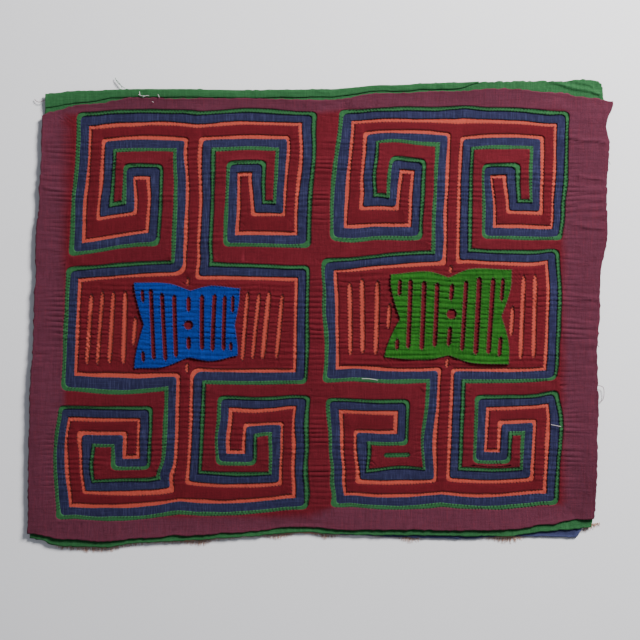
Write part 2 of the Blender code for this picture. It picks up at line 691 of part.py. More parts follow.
def build():
    """Builds every piece of the panel."""
    for item in list(bpy.data.objects):
        bpy.data.objects.remove(item)
    home = bpy.data.collections.new(OBJECT_NAME)
    bpy.context.scene.collection.children.link(home)

    outer = {cloth: cloth_outline(cloth) for cloth in ("orange", "navy", "green", "maroon")}
    cuts = {
        layer: [cut_line(unit, layer) for unit in UNITS] for layer in ("navy", "green", "maroon")
    }
    middle = middle_of(outer.values())

    add_sheet("orange_base_cloth", "orange", [outer["orange"]], middle, home)
    add_sheet("navy_cloth", "navy", [outer["navy"], *cuts["navy"]], middle, home)
    add_sheet("green_cloth", "green", [outer["green"], *cuts["green"]], middle, home, fold_top_over)
    add_sheet(
        "maroon_ground_cloth",
        "maroon",
        [outer["maroon"], *cuts["maroon"], ground_slit()],
        middle,
        home,
        lift_sides,
    )
    patch_names = {"left": "blue_patch", "right": "green_patch"}
    for unit in UNITS:
        figure = [cut_line(unit, "figure"), *box_slits(unit)]
        add_piece(unit + "_figure", "figure", figure, middle, home)
        add_piece(patch_names[unit], "patch", patch_outlines(unit), middle, home)


build()
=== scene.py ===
"""Mola panel: the looks of the cloths, their sewn cut edges, stitches and frayed edges.

Four cotton cloths lie over one another: orange, navy, green and maroon from the bottom up. The
upper three are cut through and their edges turned under and stitched down, so each cut line is
made as rings of points that follow it from the rolled edge into the cloth.
"""
import json
import math

import bmesh
import bpy
import numpy as np
from mathutils import Matrix, Vector

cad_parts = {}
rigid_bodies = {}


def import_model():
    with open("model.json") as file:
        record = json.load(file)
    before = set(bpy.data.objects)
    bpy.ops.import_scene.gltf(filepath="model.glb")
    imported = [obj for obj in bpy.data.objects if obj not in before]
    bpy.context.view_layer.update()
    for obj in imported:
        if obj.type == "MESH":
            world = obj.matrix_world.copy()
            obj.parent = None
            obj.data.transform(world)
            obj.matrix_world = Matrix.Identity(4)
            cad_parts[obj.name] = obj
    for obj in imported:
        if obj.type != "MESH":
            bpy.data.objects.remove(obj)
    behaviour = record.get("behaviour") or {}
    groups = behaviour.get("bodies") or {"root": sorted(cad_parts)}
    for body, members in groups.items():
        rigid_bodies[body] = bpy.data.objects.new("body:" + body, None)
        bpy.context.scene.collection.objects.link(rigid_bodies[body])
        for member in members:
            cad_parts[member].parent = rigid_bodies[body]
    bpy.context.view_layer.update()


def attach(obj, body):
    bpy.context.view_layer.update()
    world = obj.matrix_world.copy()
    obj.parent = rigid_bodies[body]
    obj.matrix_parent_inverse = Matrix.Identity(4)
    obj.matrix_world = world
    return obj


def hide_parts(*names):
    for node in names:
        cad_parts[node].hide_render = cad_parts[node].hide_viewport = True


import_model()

MM = 0.001

# The photograph: how wide a pixel is on the cloth, and the pixel of the drawing's own zero.
PIXEL = 0.70 * MM
DRAWING_ZERO = (320.5, 313.0)
PHOTO_MIDDLE = (320.0, 320.0)
PHOTO_WIDE = 640
LENS = 50.0
SENSOR = 36.0

# Cloth as it really is: how thick, the height of each cloth's upper side in millimetres where
# the layers are stitched down and in the loose margins, and how far a rolled edge turns down.
THIN = 0.40 * MM
SEWN = {"orange": 0.5, "navy": 1.05, "figure": 1.05, "green": 1.6, "patch": 1.85, "maroon": 2.15}
LOOSE = {"orange": 0.5, "navy": 1.3, "figure": 1.15, "green": 2.2, "patch": 1.8, "maroon": 3.5}
ROLL = 0.45 * MM

# How far out from the windows the cloths go from sewn to loose, and how far the ground cloth goes from
# red to the painted purple sheen of its margins, which starts a little inside. The cloths under a
# margin lie flatter.
# Between the windows, the bounds of the pattern ease from one window's to the other's.
MARGIN_REACH = 16 * MM
TINT_REACH = 5 * MM
TINT_INWARDS = 5 * MM
HIDDEN_REACH = 5 * MM
BETWEEN_REACH = 30 * MM

# Rings of points from a cut edge into the cloth, in millimetres from the edge. Those of the
# orange cloth go both ways from the figure's edge over it.
RINGS = {
    "maroon": (0.0, 0.12, 0.35, 0.9, 1.8),
    "green": (0.0, 0.12, 0.35, 0.9, 2.4),
    "navy": (0.0, 0.12, 0.35, 0.9, 2.3, 4.2, 6.3),
    "figure": (0.0, 0.12, 0.35, 0.8, 1.3),
    "orange": (-0.6, 0.6, 1.7, 3.1),
    "patch": (0.0, 0.12, 0.3, 0.55),
    "slit": (0.0, 0.12, 0.3, 0.5),
    "raw": (0.0, 0.8, 1.8, 2.8),
}
STITCH = 2.3 * MM
COLUMN = STITCH / 2
UPRIGHT_COLUMNS = 3
LEVEL_COLUMNS = 2
UPRIGHT = 0.7

# A cut line runs this far outside the middle line of the figure's path. Corners that point
# away from the path and corners in its crooks are rounded on their own radii.
CUTS = {
    "figure": {"off": 3.4 * MM, "outer": 0.0, "crook": 2.6 * MM},
    "navy": {"off": 6.1 * MM, "outer": 0.0, "crook": 2.2 * MM},
    "green": {"off": 12.0 * MM, "outer": 3.2 * MM, "crook": 0.0},
    "maroon": {"off": 14.8 * MM, "outer": 4.4 * MM, "crook": 0.0},
}

# The two figures: where each stem crosses the middle of its box, how much the figure leans to
# the right for each metre up, how far its edges bow out over each spiral, and how wide its
# bands are as a share of the offsets above.
UNITS = {
    "left": {"x": -92.5 * MM, "y": -9.5 * MM, "lean": 0.044, "bow": 2.4 * MM, "bands": 0.97},
    "right": {"x": 89.5 * MM, "y": -3.5 * MM, "lean": 0.036, "bow": 2.2 * MM, "bands": 0.93},
}

# One spiral arm in each quarter of a figure, in millimetres from the stem in the middle of the
# box: how far out the side of the box is, how far up its top is there and at the neck by the
# stem, how round the neck is, how far up the arm runs and how far out, where it turns back and
# where that run ends, how far its last run is from the stem, where that ends, and how much fatter
# the lower run is. The arm that doesn't curl ends at "hook" on its lower run.
ARM_COLUMNS = (
    "unit", "side", "rise", "wide", "box", "neck", "bend",
    "top", "reach", "low", "turn", "hook", "end", "fat", "curls",
)
ARMS = (
    ("left", -1, 1, 72.0, 27.5, 32.5, 8.0, 136.0, 71.0, 68.0, 73.0, 36.5, 99.0, 2.6, True),
    ("left", 1, 1, 70.5, 28.6, 29.4, 3.0, 136.5, 70.0, 71.0, 71.0, 36.0, 101.0, 1.9, True),
    ("left", -1, -1, 72.0, 29.5, 29.5, 3.0, 121.0, 74.5, 70.0, 70.0, 36.0, 86.0, 0.0, True),
    ("left", 1, -1, 70.5, 26.0, 26.0, 7.0, 115.0, 75.0, 63.5, 63.5, 38.0, 82.0, 0.0, True),
    ("right", -1, 1, 72.5, 28.5, 33.5, 3.0, 133.0, 68.5, 69.8, 69.8, 33.5, 96.0, 1.1, True),
    ("right", 1, 1, 64.0, 33.0, 33.2, 3.0, 130.2, 67.0, 68.0, 68.0, 34.0, 93.0, 0.3, True),
    ("right", -1, -1, 72.5, 31.0, 31.0, 3.0, 118.5, 67.0, 71.5, 71.5, 38.5, 0.0, 2.2, False),
    ("right", 1, -1, 64.0, 31.5, 31.5, 3.0, 117.0, 68.0, 67.5, 67.5, 34.5, 87.0, 0.3, True),
)

# Slits through the boxes of the figures, in millimetres from the stem in the middle of the box,
# and how far each leans to the right of the figure for each metre up.
SLIT_COLUMNS = ("unit", "x", "lean", "low", "high", "wide")
BOX_SLITS = (
    ("left", -68.5, 0.015, -28.0, 21.5, 3.1),
    ("left", -61.0, 0.020, -28.0, 23.5, 2.8),
    ("left", -53.0, 0.005, -27.0, 23.0, 3.2),
    ("left", -44.0, -0.025, -27.0, 23.5, 3.5),
    ("left", -36.8, 0.020, -14.5, 5.5, 3.0),
    ("left", 40.0, 0.055, -23.5, 24.5, 3.0),
    ("left", 47.5, 0.080, -22.5, 23.5, 2.9),
    ("left", 54.5, 0.080, -22.5, 24.5, 3.6),
    ("left", 64.0, 0.075, -22.0, 23.0, 2.9),
    ("left", -1.5, 0.0, 28.0, 34.0, 2.4),
    ("left", 0.9, 0.0, -33.0, -26.0, 2.3),
    ("right", -68.5, -0.020, -26.0, 24.5, 3.1),
    ("right", -60.0, -0.025, -25.0, 27.0, 3.5),
    ("right", -50.0, 0.005, -25.5, 25.5, 3.5),
    ("right", -41.6, 0.035, -8.0, 9.5, 3.0),
    ("right", 44.0, 0.005, -12.0, 9.0, 3.0),
    ("right", 51.0, -0.005, -28.5, 30.0, 3.2),
    ("right", 59.5, -0.020, -28.0, 30.5, 3.2),
    ("right", 0.0, 0.050, 30.5, 36.0, 2.4),
    ("right", 0.5, 0.045, -35.0, -28.0, 2.3),
)
SLIT_TIP = 8 * MM

# The waisted patches, in millimetres from the stem in the middle of the box: their corners
# anticlockwise from the top right one, and the top, left, bottom and right sides between them.
# A side dips in at "middle", over a share "reach" of its length each way, and swells between.
PATCH_CORNERS = {
    "left": ((35.5, 26.5), (-39.0, 29.5), (-35.5, -30.0), (35.5, -20.0)),
    "right": ((42.0, 33.5), (-41.0, 29.5), (-44.0, -27.0), (43.0, -32.0)),
}
PATCH_SIDE_COLUMNS = ("unit", "dip", "middle", "reach", "swell")
PATCH_SIDES = (
    ("left", 3.2, 0.466, 0.20, 0.9),
    ("left", 6.8, 0.500, 0.50, 0.0),
    ("left", 2.6, 0.542, 0.22, 1.8),
    ("left", 2.6, 0.460, 0.40, 0.0),
    ("right", 3.8, 0.524, 0.17, 1.1),
    ("right", 8.6, 0.534, 0.46, 0.0),
    ("right", 3.6, 0.520, 0.20, 0.6),
    ("right", 6.2, 0.516, 0.35, 0.0),
)
PATCH_DIP_POWER = 1.5
PATCH_SLITS = (
    ("left", -32.4, -0.130, 15.5, 24.5, 2.3),
    ("left", -29.6, -0.100, -25.5, -18.0, 2.4),
    ("left", -24.5, -0.100, -24.0, 25.0, 2.8),
    ("left", -16.5, -0.110, -24.5, 22.5, 2.8),
    ("left", -8.6, -0.085, -22.0, 21.5, 2.9),
    ("left", 0.0, -0.060, 10.0, 20.5, 2.8),
    ("left", 1.5, -0.040, -16.5, -7.5, 2.9),
    ("left", 10.0, -0.050, -16.5, 22.0, 2.9),
    ("left", 18.0, -0.005, -17.0, 22.5, 2.9),
    ("left", 25.4, -0.015, -16.5, 21.5, 2.7),
    ("left", 31.0, -0.030, 10.0, 21.5, 2.2),
    ("left", 30.7, -0.025, -16.5, -10.5, 2.2),
    ("right", -34.8, 0.030, 14.5, 26.0, 2.5),
    ("right", -35.3, 0.015, -22.0, -14.5, 2.7),
    ("right", -27.5, 0.0, -21.0, 26.0, 3.0),
    ("right", -18.0, -0.005, -22.0, 25.0, 3.2),
    ("right", -9.0, -0.005, -20.0, 24.0, 3.0),
    ("right", 1.0, 0.035, 12.0, 23.5, 2.9),
    ("right", 1.0, 0.025, -19.5, -6.0, 2.9),
    ("right", 10.5, 0.010, -22.5, 25.5, 2.9),
    ("right", 19.8, 0.0, -25.0, 28.0, 3.4),
    ("right", 29.0, 0.015, -24.5, 27.5, 3.1),
    ("right", 36.0, 0.020, 12.0, 27.5, 2.5),
    ("right", 36.4, 0.030, -26.5, -12.5, 2.6),
)
PATCH_SLIT_TIP = 2.4 * MM
PATCH_EYES = {
    "left": {"x": 0.8 * MM, "y": 0.7 * MM, "radius": 3.2 * MM},
    "right": {"x": 1.7 * MM, "y": 2.6 * MM, "radius": 3.5 * MM},
}
PATCH_EYE_STEPS = 16

# A slit in the ground cloth, in the crook of the arm that has no hook.
GROUND_SLIT = {"x": -32.5 * MM, "y": -94.5 * MM, "half_long": 9.5 * MM, "half_wide": 1.7 * MM}

# Sides of the maroon ground cloth, and how far the lower cloths stand out past it.
TOP_COLUMNS = ("x", "edge", "green")
TOP = (
    (-206, 137.0, 15.5),
    (-165, 146.0, 9.5),
    (-130, 150.5, 6.0),
    (-96, 150.0, 6.5),
    (-53, 150.0, 5.8),
    (4, 149.0, 7.5),
    (45, 154.0, 5.2),
    (89, 155.0, 6.0),
    (132, 157.0, 5.2),
    (166, 154.0, 8.0),
    (187, 150.5, 13.0),
    (206, 147.5, 11.0),
)
BOTTOM_COLUMNS = ("x", "edge", "green", "navy", "orange")
BOTTOM = (
    (-206, -154.0, 3.2, 1.4, 3.0),
    (-180, -158.0, 5.0, 2.8, 6.6),
    (-152, -159.5, 4.6, 2.8, 6.2),
    (-125, -157.5, 3.4, 2.2, 4.6),
    (-96, -155.5, 3.8, 2.4, 6.2),
    (-60, -153.5, 3.6, 3.6, 4.8),
    (-14, -149.5, 3.8, 4.4, 6.6),
    (20, -151.5, 3.8, 4.6, 5.2),
    (60, -151.5, 4.0, 6.4, 6.8),
    (100, -152.0, 4.0, 6.8, 5.0),
    (132, -151.5, 4.8, 5.4, 7.6),
    (158, -148.0, 4.8, 9.4, 4.6),
    (179, -144.5, 6.4, 13.4, 6.0),
    (186, -144.0, 6.4, 3.0, 6.4),
    (206, -143.0, 6.4, 3.0, 5.4),
)
SIDE_COLUMNS = ("y", "left", "right")
SIDES = (
    (158, -194.0, 198.5),
    (150, -193.5, 199.0),
    (147, -193.5, 204.0),
    (131, -194.5, 199.5),
    (118, -195.0, 201.5),
    (82, -196.5, 199.5),
    (52, -198.5, 200.0),
    (30, -199.0, 195.5),
    (5, -200.0, 195.0),
    (-21, -201.0, 193.5),
    (-68, -203.0, 194.0),
    (-110, -204.0, 193.0),
    (-160, -204.5, 191.0),
)
# How far each lower cloth stops short of the maroon one at the sides, and of the green one
# at the top.
SIDE_INSET = {"maroon": 0.0, "green": 1.2 * MM, "navy": 2.6 * MM, "orange": 2.0 * MM}
TOP_INSET = {"green": 0.0, "navy": 2.4 * MM, "orange": 3.4 * MM}
TOP_CORNER = {"maroon": 147 * MM, "green": 158 * MM, "navy": 158 * MM, "orange": 158 * MM}
SIDE_STEP = 17 * MM
EDGE_STEP = 10 * MM

# The green cloth's top is turned forward over itself, as wide as this at each place.
FLAP_COLUMNS = ("x", "wide")
FLAP = (
    (-206, 10.8),
    (-165, 8.0),
    (-145, 5.6),
    (0, 5.2),
    (40, 3.9),
    (90, 4.2),
    (112, 3.4),
)
FLAP_END = 112 * MM

# The side edges of the ground cloth lift a little, most at "at" and less over "spread" each way.
LIFTS = (
    {"side": 1, "height": 1.4 * MM, "at": 70 * MM, "spread": 60 * MM},
    {"side": 1, "height": 1.0 * MM, "at": -110 * MM, "spread": 40 * MM},
    {"side": -1, "height": 0.8 * MM, "at": -60 * MM, "spread": 70 * MM},
)

# Uneven handwork: slow waves that every cut follows, each crossed by a second one at these
# shares of its own steepness.
CROSSED_X = 2.3
CROSSED_Y = -3.1
WAVES = (
    {"along_x": 9.1, "along_y": 5.3, "phase": 0.4, "move_x": 0.55 * MM, "move_y": -0.35 * MM},
    {"along_x": -6.7, "along_y": 11.9, "phase": 2.1, "move_x": -0.35 * MM, "move_y": 0.50 * MM},
    {"along_x": 17.3, "along_y": 14.1, "phase": 4.6, "move_x": 0.25 * MM, "move_y": 0.30 * MM},
)

# Where the cloths were drawn away from the even figure: the place and how far round it this
# reaches across and up, how far to the right and how far up, in millimetres.
NUDGE_COLUMNS = ("x", "y", "wide", "high", "right", "up")
NUDGES = (
    (-91.5, 114.0, 17.0, 20.0, -3.2, 1.0),
    (-154.0, 140.0, 22.0, 7.0, 0.0, 1.5),
    (-91.5, 140.0, 14.0, 6.0, 0.0, 1.2),
    (-13.0, 131.5, 14.0, 14.0, -3.0, 1.5),
    (-15.0, 80.0, 12.0, 28.0, -2.4, 0.0),
    (-165.5, 79.0, 12.0, 20.0, -1.4, 0.0),
    (-115.0, 49.5, 11.0, 5.0, 0.0, -1.6),
    (-125.5, 96.0, 10.0, 10.0, -2.1, 0.0),
    (-46.0, 96.5, 8.0, 12.0, -2.0, 0.0),
    (-46.5, 69.5, 8.0, 9.0, 1.5, 0.0),
    (-78.0, 36.0, 12.0, 7.0, 1.2, 1.2),
    (-144.0, -53.5, 42.0, 8.0, 0.0, -4.0),
    (-104.0, -119.0, 8.0, 8.0, -1.0, 1.5),
    (-183.0, -68.0, 9.0, 10.0, 1.4, 0.0),
    (-180.0, -100.0, 9.0, 18.0, -2.1, 0.0),
    (-181.0, -140.0, 12.0, 12.0, 2.2, 0.0),
    (-168.0, -87.0, 8.0, 13.0, -2.4, 0.0),
    (-167.5, -124.0, 7.0, 9.0, 1.2, 0.0),
    (-159.0, -106.5, 8.0, 12.0, -1.8, 0.0),
    (-134.0, -122.0, 22.0, 9.0, 0.0, 2.1),
    (-111.0, -117.0, 8.0, 9.0, -3.0, 0.6),
    (-15.0, -76.0, 12.0, 20.0, -3.4, 0.0),
    (-15.0, -66.0, 22.0, 10.0, 0.0, 2.4),
    (-63.0, -65.0, 12.0, 10.0, -1.4, 1.5),
    (-16.0, -108.0, 11.0, 12.0, -1.8, 0.0),
    (-67.0, -88.0, 10.0, 14.0, -2.4, 0.0),
    (-36.0, -87.5, 9.0, 8.0, -1.5, 2.0),
    (10.0, 85.0, 8.0, 42.0, -3.2, 0.0),
    (24.0, 52.0, 14.0, 8.0, 0.0, -2.6),
    (60.0, 52.0, 20.0, 5.0, 0.0, -1.6),
    (96.5, 139.0, 14.0, 7.0, 0.0, 3.4),
    (30.0, 132.0, 24.0, 12.0, 0.4, 0.8),
    (55.0, 98.0, 8.0, 12.0, 1.0, 0.0),
    (46.0, 112.0, 16.0, 13.0, 2.0, 2.2),
    (38.0, 81.0, 10.0, 10.0, 1.8, 1.4),
    (7.0, 28.0, 10.0, 14.0, -2.6, 0.0),
    (4.0, 2.0, 10.0, 14.0, -1.6, 0.0),
    (170.0, 74.0, 13.0, 16.0, -2.0, 0.0),
    (171.5, 53.0, 12.0, 11.0, -3.4, 0.0),
    (128.0, 95.5, 12.0, 13.0, -3.0, 0.0),
    (164.0, 36.0, 12.0, 12.0, -2.2, 2.4),
    (102.0, 38.0, 12.0, 12.0, 0.0, 1.4),
    (28.0, -41.0, 16.0, 8.0, 0.0, 1.6),
    (8.0, -64.0, 11.0, 14.0, -3.0, 0.0),
    (8.0, -110.0, 11.0, 10.0, 2.0, 0.0),
    (9.0, -130.0, 14.0, 11.0, 4.4, -1.0),
    (24.0, -114.0, 8.0, 12.0, 2.8, 0.0),
    (32.5, -96.0, 7.0, 12.0, 2.4, 0.0),
    (56.0, -111.5, 18.0, 7.0, 0.0, 3.4),
    (75.0, -90.0, 8.0, 17.0, -2.6, 0.0),
    (167.5, -58.0, 12.0, 12.0, -3.4, 2.4),
    (169.0, -84.0, 10.0, 22.0, 1.6, 0.0),
)


def rows_of(columns, table):
    """The rows of a table as dictionaries."""
    return [dict(zip(columns, row)) for row in table]


def read_at(columns, table, key, places, column):
    """A column of a table at some places in metres, eased from row to row."""
    rows = sorted(rows_of(columns, table), key=lambda row: row[key])
    at = np.array([row[key] for row in rows], float) * MM
    values = np.array([row[column] for row in rows], float) * MM
    i = np.clip(np.searchsorted(at, places, side="right") - 1, 0, len(at) - 2)
    share = np.clip((places - at[i]) / (at[i + 1] - at[i]), 0, 1)
    return values[i] + (values[i + 1] - values[i]) * ease(share)


def ease(share):
    """A share from 0 to 1 that starts and ends softly."""
    share = np.clip(share, 0, 1)
    return share * share * (3 - 2 * share)


def evenly(start, stop, step):
    """Numbers from start to stop, both included, about one step apart."""
    return np.linspace(start, stop, max(1, round(abs(stop - start) / step)) + 1)


# How many random values there are along a line and along each side of a grid.
KNOTS = 4096
LATTICE = 512


def drift(along, pitch, seed):
    """Smooth random values between -1 and 1 along a line, changing about once each pitch."""
    knots = np.random.default_rng(seed).uniform(-1, 1, KNOTS)
    place = along / pitch
    i = np.floor(place).astype(int)
    here, after = knots[i % KNOTS], knots[(i + 1) % KNOTS]
    return here + (after - here) * ease(place - i)


def cloud(x, y, size_x, size_y, seed):
    """Smooth random values between -1 and 1 over the panel, changing about once each size."""
    lattice = np.random.default_rng(seed).uniform(-1, 1, (LATTICE, LATTICE))
    u, v = x / size_x + LATTICE / 2, y / size_y + LATTICE / 2
    i, j = np.floor(u).astype(int), np.floor(v).astype(int)
    across, up = ease(u - i), ease(v - j)
    i, right = i % LATTICE, (i + 1) % LATTICE
    j, above = j % LATTICE, (j + 1) % LATTICE
    low = lattice[i, j] * (1 - across) + lattice[right, j] * across
    high = lattice[i, above] * (1 - across) + lattice[right, above] * across
    return low * (1 - up) + high * up


# The drawing of the pattern.


def waved(x, y):
    """Points of the pattern moved by the slow waves of the handwork and the nudges."""
    moved_x, moved_y = x.copy(), y.copy()
    for wave in WAVES:
        height = np.sin(wave["along_x"] * x + wave["along_y"] * y + wave["phase"])
        height += np.sin(CROSSED_X * wave["along_y"] * x + CROSSED_Y * wave["along_x"] * y)
        moved_x += wave["move_x"] * height
        moved_y += wave["move_y"] * height
    for nudge in rows_of(NUDGE_COLUMNS, NUDGES):
        far_x = (x - nudge["x"] * MM) / (nudge["wide"] * MM)
        far_y = (y - nudge["y"] * MM) / (nudge["high"] * MM)
        near = np.exp(-(far_x**2) - far_y**2)
        moved_x += nudge["right"] * MM * near
        moved_y += nudge["up"] * MM * near
    return np.stack([moved_x, moved_y], 1)


def arms_of(unit):
    """The rows of the arms of one figure."""
    return [arm for arm in rows_of(ARM_COLUMNS, ARMS) if arm["unit"] == unit]


def placed(unit, points):
    """Points of a figure, given from the middle of its box, moved to their place in the panel."""
    figure = UNITS[unit]
    u, v = points[:, 0], points[:, 1]
    reach, top = np.ones_like(u), np.ones_like(u)
    for arm in reversed(arms_of(unit)):
        here = (arm["side"] * u >= 0) & (arm["rise"] * v >= 0)
        reach[here], top[here] = arm["reach"] * MM, arm["top"] * MM
    bow = figure["bow"] * np.sin(math.pi * np.minimum(1, abs(u) / reach)) * v / top
    return waved(figure["x"] + u + figure["lean"] * v, figure["y"] + v + bow)


def arm_corners(arm, off):
    """Corners of a cut line along one arm, from the side of the box to the arm's far corner."""
    wide, box, neck, top = (arm[name] * MM for name in ("wide", "box", "neck", "top"))
    reach, low, turn, hook, end = (
        arm[name] * MM for name in ("reach", "low", "turn", "hook", "end")
    )
    low_off = off + arm["fat"] * MM

    def box_top(u):
        return neck + (box - neck) * u / wide

    def low_run(u):
        return low + (turn - low) * (reach - u) / (reach - hook)

    corners = [
        (wide + off, box_top(wide + off) + off),
        (off, box_top(off) + off),
        (off, top - off),
        (reach - off, top - off),
        (reach - off, low_run(reach - off) + low_off),
    ]
    if arm["curls"]:
        corners += [
            (hook + off, low_run(hook + off) + low_off),
            (hook + off, end + off),
            (hook - off, end + off),
        ]
    else:
        corners.append((hook - off, low_run(hook - off) + low_off))
    corners += [
        (hook - off, low_run(hook - off) - low_off),
        (reach + off, low_run(reach + off) - low_off),
        (reach + off, top + off),
    ]
    return [(arm["side"] * u, arm["rise"] * v) for u, v in corners]


def around(unit, of_arm):
    """One closed list for a whole figure from a list for each arm, anticlockwise."""
    arms = {(arm["side"], arm["rise"]): of_arm(arm) for arm in arms_of(unit)}
    return np.array(arms[1, 1] + arms[-1, 1][::-1] + arms[-1, -1] + arms[1, -1][::-1])


def cut_corners(unit, off):
    """Corners of one closed cut line round a whole figure, anticlockwise."""
    return around(unit, lambda arm: arm_corners(arm, off))


def neck_bends(unit):
    """How round each corner's neck is, and 0 where a corner isn't the neck of an arm."""
    return around(unit, lambda arm: [0, arm["bend"] * MM] + [0] * (len(arm_corners(arm, 0)) - 2))


# The least radius of a corner, and how far apart the points in its bend are.
SHARPEST = 0.35 * MM
ARC_STEP = 1.0 * MM


def corner_radii(off, turns, bends):
    """The radius at each corner of a ring: those of the cut lines that the ring lies between."""
    cuts = sorted(CUTS.values(), key=lambda cut: cut["off"])
    offs = [cut["off"] for cut in cuts]
    outer = np.interp(off, offs, [cut["outer"] for cut in cuts])
    crook = np.interp(off, offs, [cut["crook"] for cut in cuts])
    radii = np.maximum(np.where(turns > 0, outer, crook), SHARPEST)
    return np.where(bends > 0, np.maximum(radii, bends - max(0, off - CUTS["navy"]["off"])), radii)


class CutLine:
    """A cut line round a figure: its rings of points match one to one at any offset."""

    def __init__(self, unit, off):
        self.unit = unit
        corners = cut_corners(unit, off * UNITS[unit]["bands"])
        into = corners - np.roll(corners, 1, 0)
        away = np.roll(corners, -1, 0) - corners
        self.turns = into[:, 0] * away[:, 1] - into[:, 1] * away[:, 0]
        self.into = into / np.linalg.norm(into, axis=1)[:, None]
        self.away = away / np.linalg.norm(away, axis=1)[:, None]
        self.bends = neck_bends(unit)
        radii = corner_radii(off, self.turns, self.bends)
        corner, shares, phase = [], [], []
        for i, radius in enumerate(radii):
            after = (i + 1) % len(radii)
            bends = max(2, round(1.5 * radius / ARC_STEP))
            for step in range(bends):
                t = step / bends
                corner.append(i)
                shares.append(((1 - t) ** 2, 2 * t * (1 - t), t * t, 0.0))
                phase.append(0.5)
            run = np.linalg.norm(away[i]) - radius - radii[after]
            each = UPRIGHT_COLUMNS if abs(self.away[i, 1]) > UPRIGHT else LEVEL_COLUMNS
            steps = each * max(1, round(run / STITCH))
            for step in range(steps):
                corner.append(i)
                shares.append((0.0, 0.0, 1 - step / steps, step / steps))
                phase.append(step % each / each)
        self.corner = np.array(corner)
        self.shares = np.array(shares)
        self.phase = np.array(phase)
        points = self.at(off)
        gaps = np.linalg.norm(points - np.roll(points, 1, 0), axis=1)
        self.along = np.cumsum(gaps)

    def flat(self, off, radii_off=None):
        """The ring's points from the middle of the figure's box."""
        corners = cut_corners(self.unit, off * UNITS[self.unit]["bands"])
        radii = corner_radii(radii_off or off, self.turns, self.bends)[:, None]
        start, stop = corners - self.into * radii, corners + self.away * radii
        parts = (start[self.corner], corners[self.corner], stop[self.corner])
        parts += (np.roll(start, -1, 0)[self.corner],)
        return sum(share[:, None] * part for share, part in zip(self.shares.T, parts))

    def at(self, off, drawn_in=0.0):
        """The ring's points in the panel, each drawn in by its own small amount."""
        points = self.flat(off)
        moved = self.flat(off + MM, off) - points
        return placed(self.unit, points + moved * np.reshape(drawn_in / MM, (-1, 1)))


def slit_points(low, high, wide, tip):
    """An upright slit round x = 0, with ends that come to a soft tip, anticlockwise."""
    tip = min(tip, 0.4 * (high - low))
    y = evenly(low, high, COLUMN)
    near = np.clip(np.minimum(y - low, high - y) / tip, 0, 1)
    half = wide / 2 * (0.16 + 0.84 * np.sqrt(1 - (1 - near) ** 2))
    return np.concatenate([np.stack([half, y], 1), np.stack([-half, y], 1)[::-1]])


def slits_of(unit, table, tip):
    """Outlines of the slits in a table, in their places in the panel."""
    found = []
    for row in rows_of(SLIT_COLUMNS, table):
        if row["unit"] == unit:
            shape = slit_points(row["low"] * MM, row["high"] * MM, row["wide"] * MM, tip)
            middle = (row["low"] + row["high"]) / 2 * MM
            shape[:, 0] += row["x"] * MM + row["lean"] * (shape[:, 1] - middle)
            found.append(placed(unit, shape))
    return found


def patch_side(start, stop, side):
    """Points along one side of a patch, moved in where it dips and out where it swells."""
    start, stop = np.array(start) * MM, np.array(stop) * MM
    way = stop - start
    length = np.linalg.norm(way)
    inward = np.array([-way[1], way[0]]) / length
    share = evenly(0, 1, COLUMN / length)[:-1, None]
    near = np.maximum(0, 1 - abs(share - side["middle"]) / side["reach"])
    depth = side["dip"] * near**PATCH_DIP_POWER - side["swell"] * np.sin(math.tau * share) ** 2
    return start + way * share + inward * depth * MM


def patch_outlines(unit):
    """The outline of a waisted patch, and those of the slits and the eye through it."""
    corners = PATCH_CORNERS[unit]
    sides = [side for side in rows_of(PATCH_SIDE_COLUMNS, PATCH_SIDES) if side["unit"] == unit]
    pairs = zip(corners, corners[1:] + corners[:1], sides)
    outline = np.concatenate([patch_side(start, stop, side) for start, stop, side in pairs])
    eye = PATCH_EYES[unit]
    turn = np.arange(PATCH_EYE_STEPS) * math.tau / PATCH_EYE_STEPS
    round_eye = np.stack([np.cos(turn), np.sin(turn)], 1) * eye["radius"] + (eye["x"], eye["y"])
    holes = [*slits_of(unit, PATCH_SLITS, PATCH_SLIT_TIP), placed(unit, round_eye)]
    return [placed(unit, outline), *holes]


def ground_slit():
    """The outline of the slit in the ground cloth, lying along X."""
    row = GROUND_SLIT
    shape = slit_points(-row["half_long"], row["half_long"], 2 * row["half_wide"], row["half_wide"])
    return placed("right", np.stack([row["x"] - shape[:, 1], row["y"] + shape[:, 0]], 1))


def top_edge(cloth, x):
    """The height in the panel of a cloth's top edge."""
    edge = read_at(TOP_COLUMNS, TOP, "x", x, "edge")
    if cloth == "maroon":
        return edge
    return edge + read_at(TOP_COLUMNS, TOP, "x", x, "green") - TOP_INSET[cloth]


def bottom_edge(cloth, x):
    """The height in the panel of a cloth's bottom edge."""
    edge = read_at(BOTTOM_COLUMNS, BOTTOM, "x", x, "edge")
    return edge if cloth == "maroon" else edge - read_at(BOTTOM_COLUMNS, BOTTOM, "x", x, cloth)


def cloth_outline(cloth, edge_step, side_step):
    """The outer outline of a cloth, clockwise from its top left corner."""

    def side(y, name, sign):
        return read_at(SIDE_COLUMNS, SIDES, "y", y, name) - sign * SIDE_INSET[cloth]

    high, low = TOP_CORNER[cloth], SIDES[-1][0] * MM
    x = evenly(side(high, "left", -1), side(high, "right", 1), edge_step)
    top = np.stack([x, top_edge(cloth, x)], 1)
    x = evenly(side(low, "right", 1), side(low, "left", -1), edge_step)
    bottom = np.stack([x, bottom_edge(cloth, x)], 1)
    y = evenly(top[-1, 1], bottom[0, 1], side_step)[1:-1]
    down = np.stack([side(y, "right", 1), y], 1)
    y = evenly(bottom[-1, 1], top[0, 1], side_step)[1:-1]
    up = np.stack([side(y, "left", -1), y], 1)
    return np.concatenate([top, down, bottom, up])


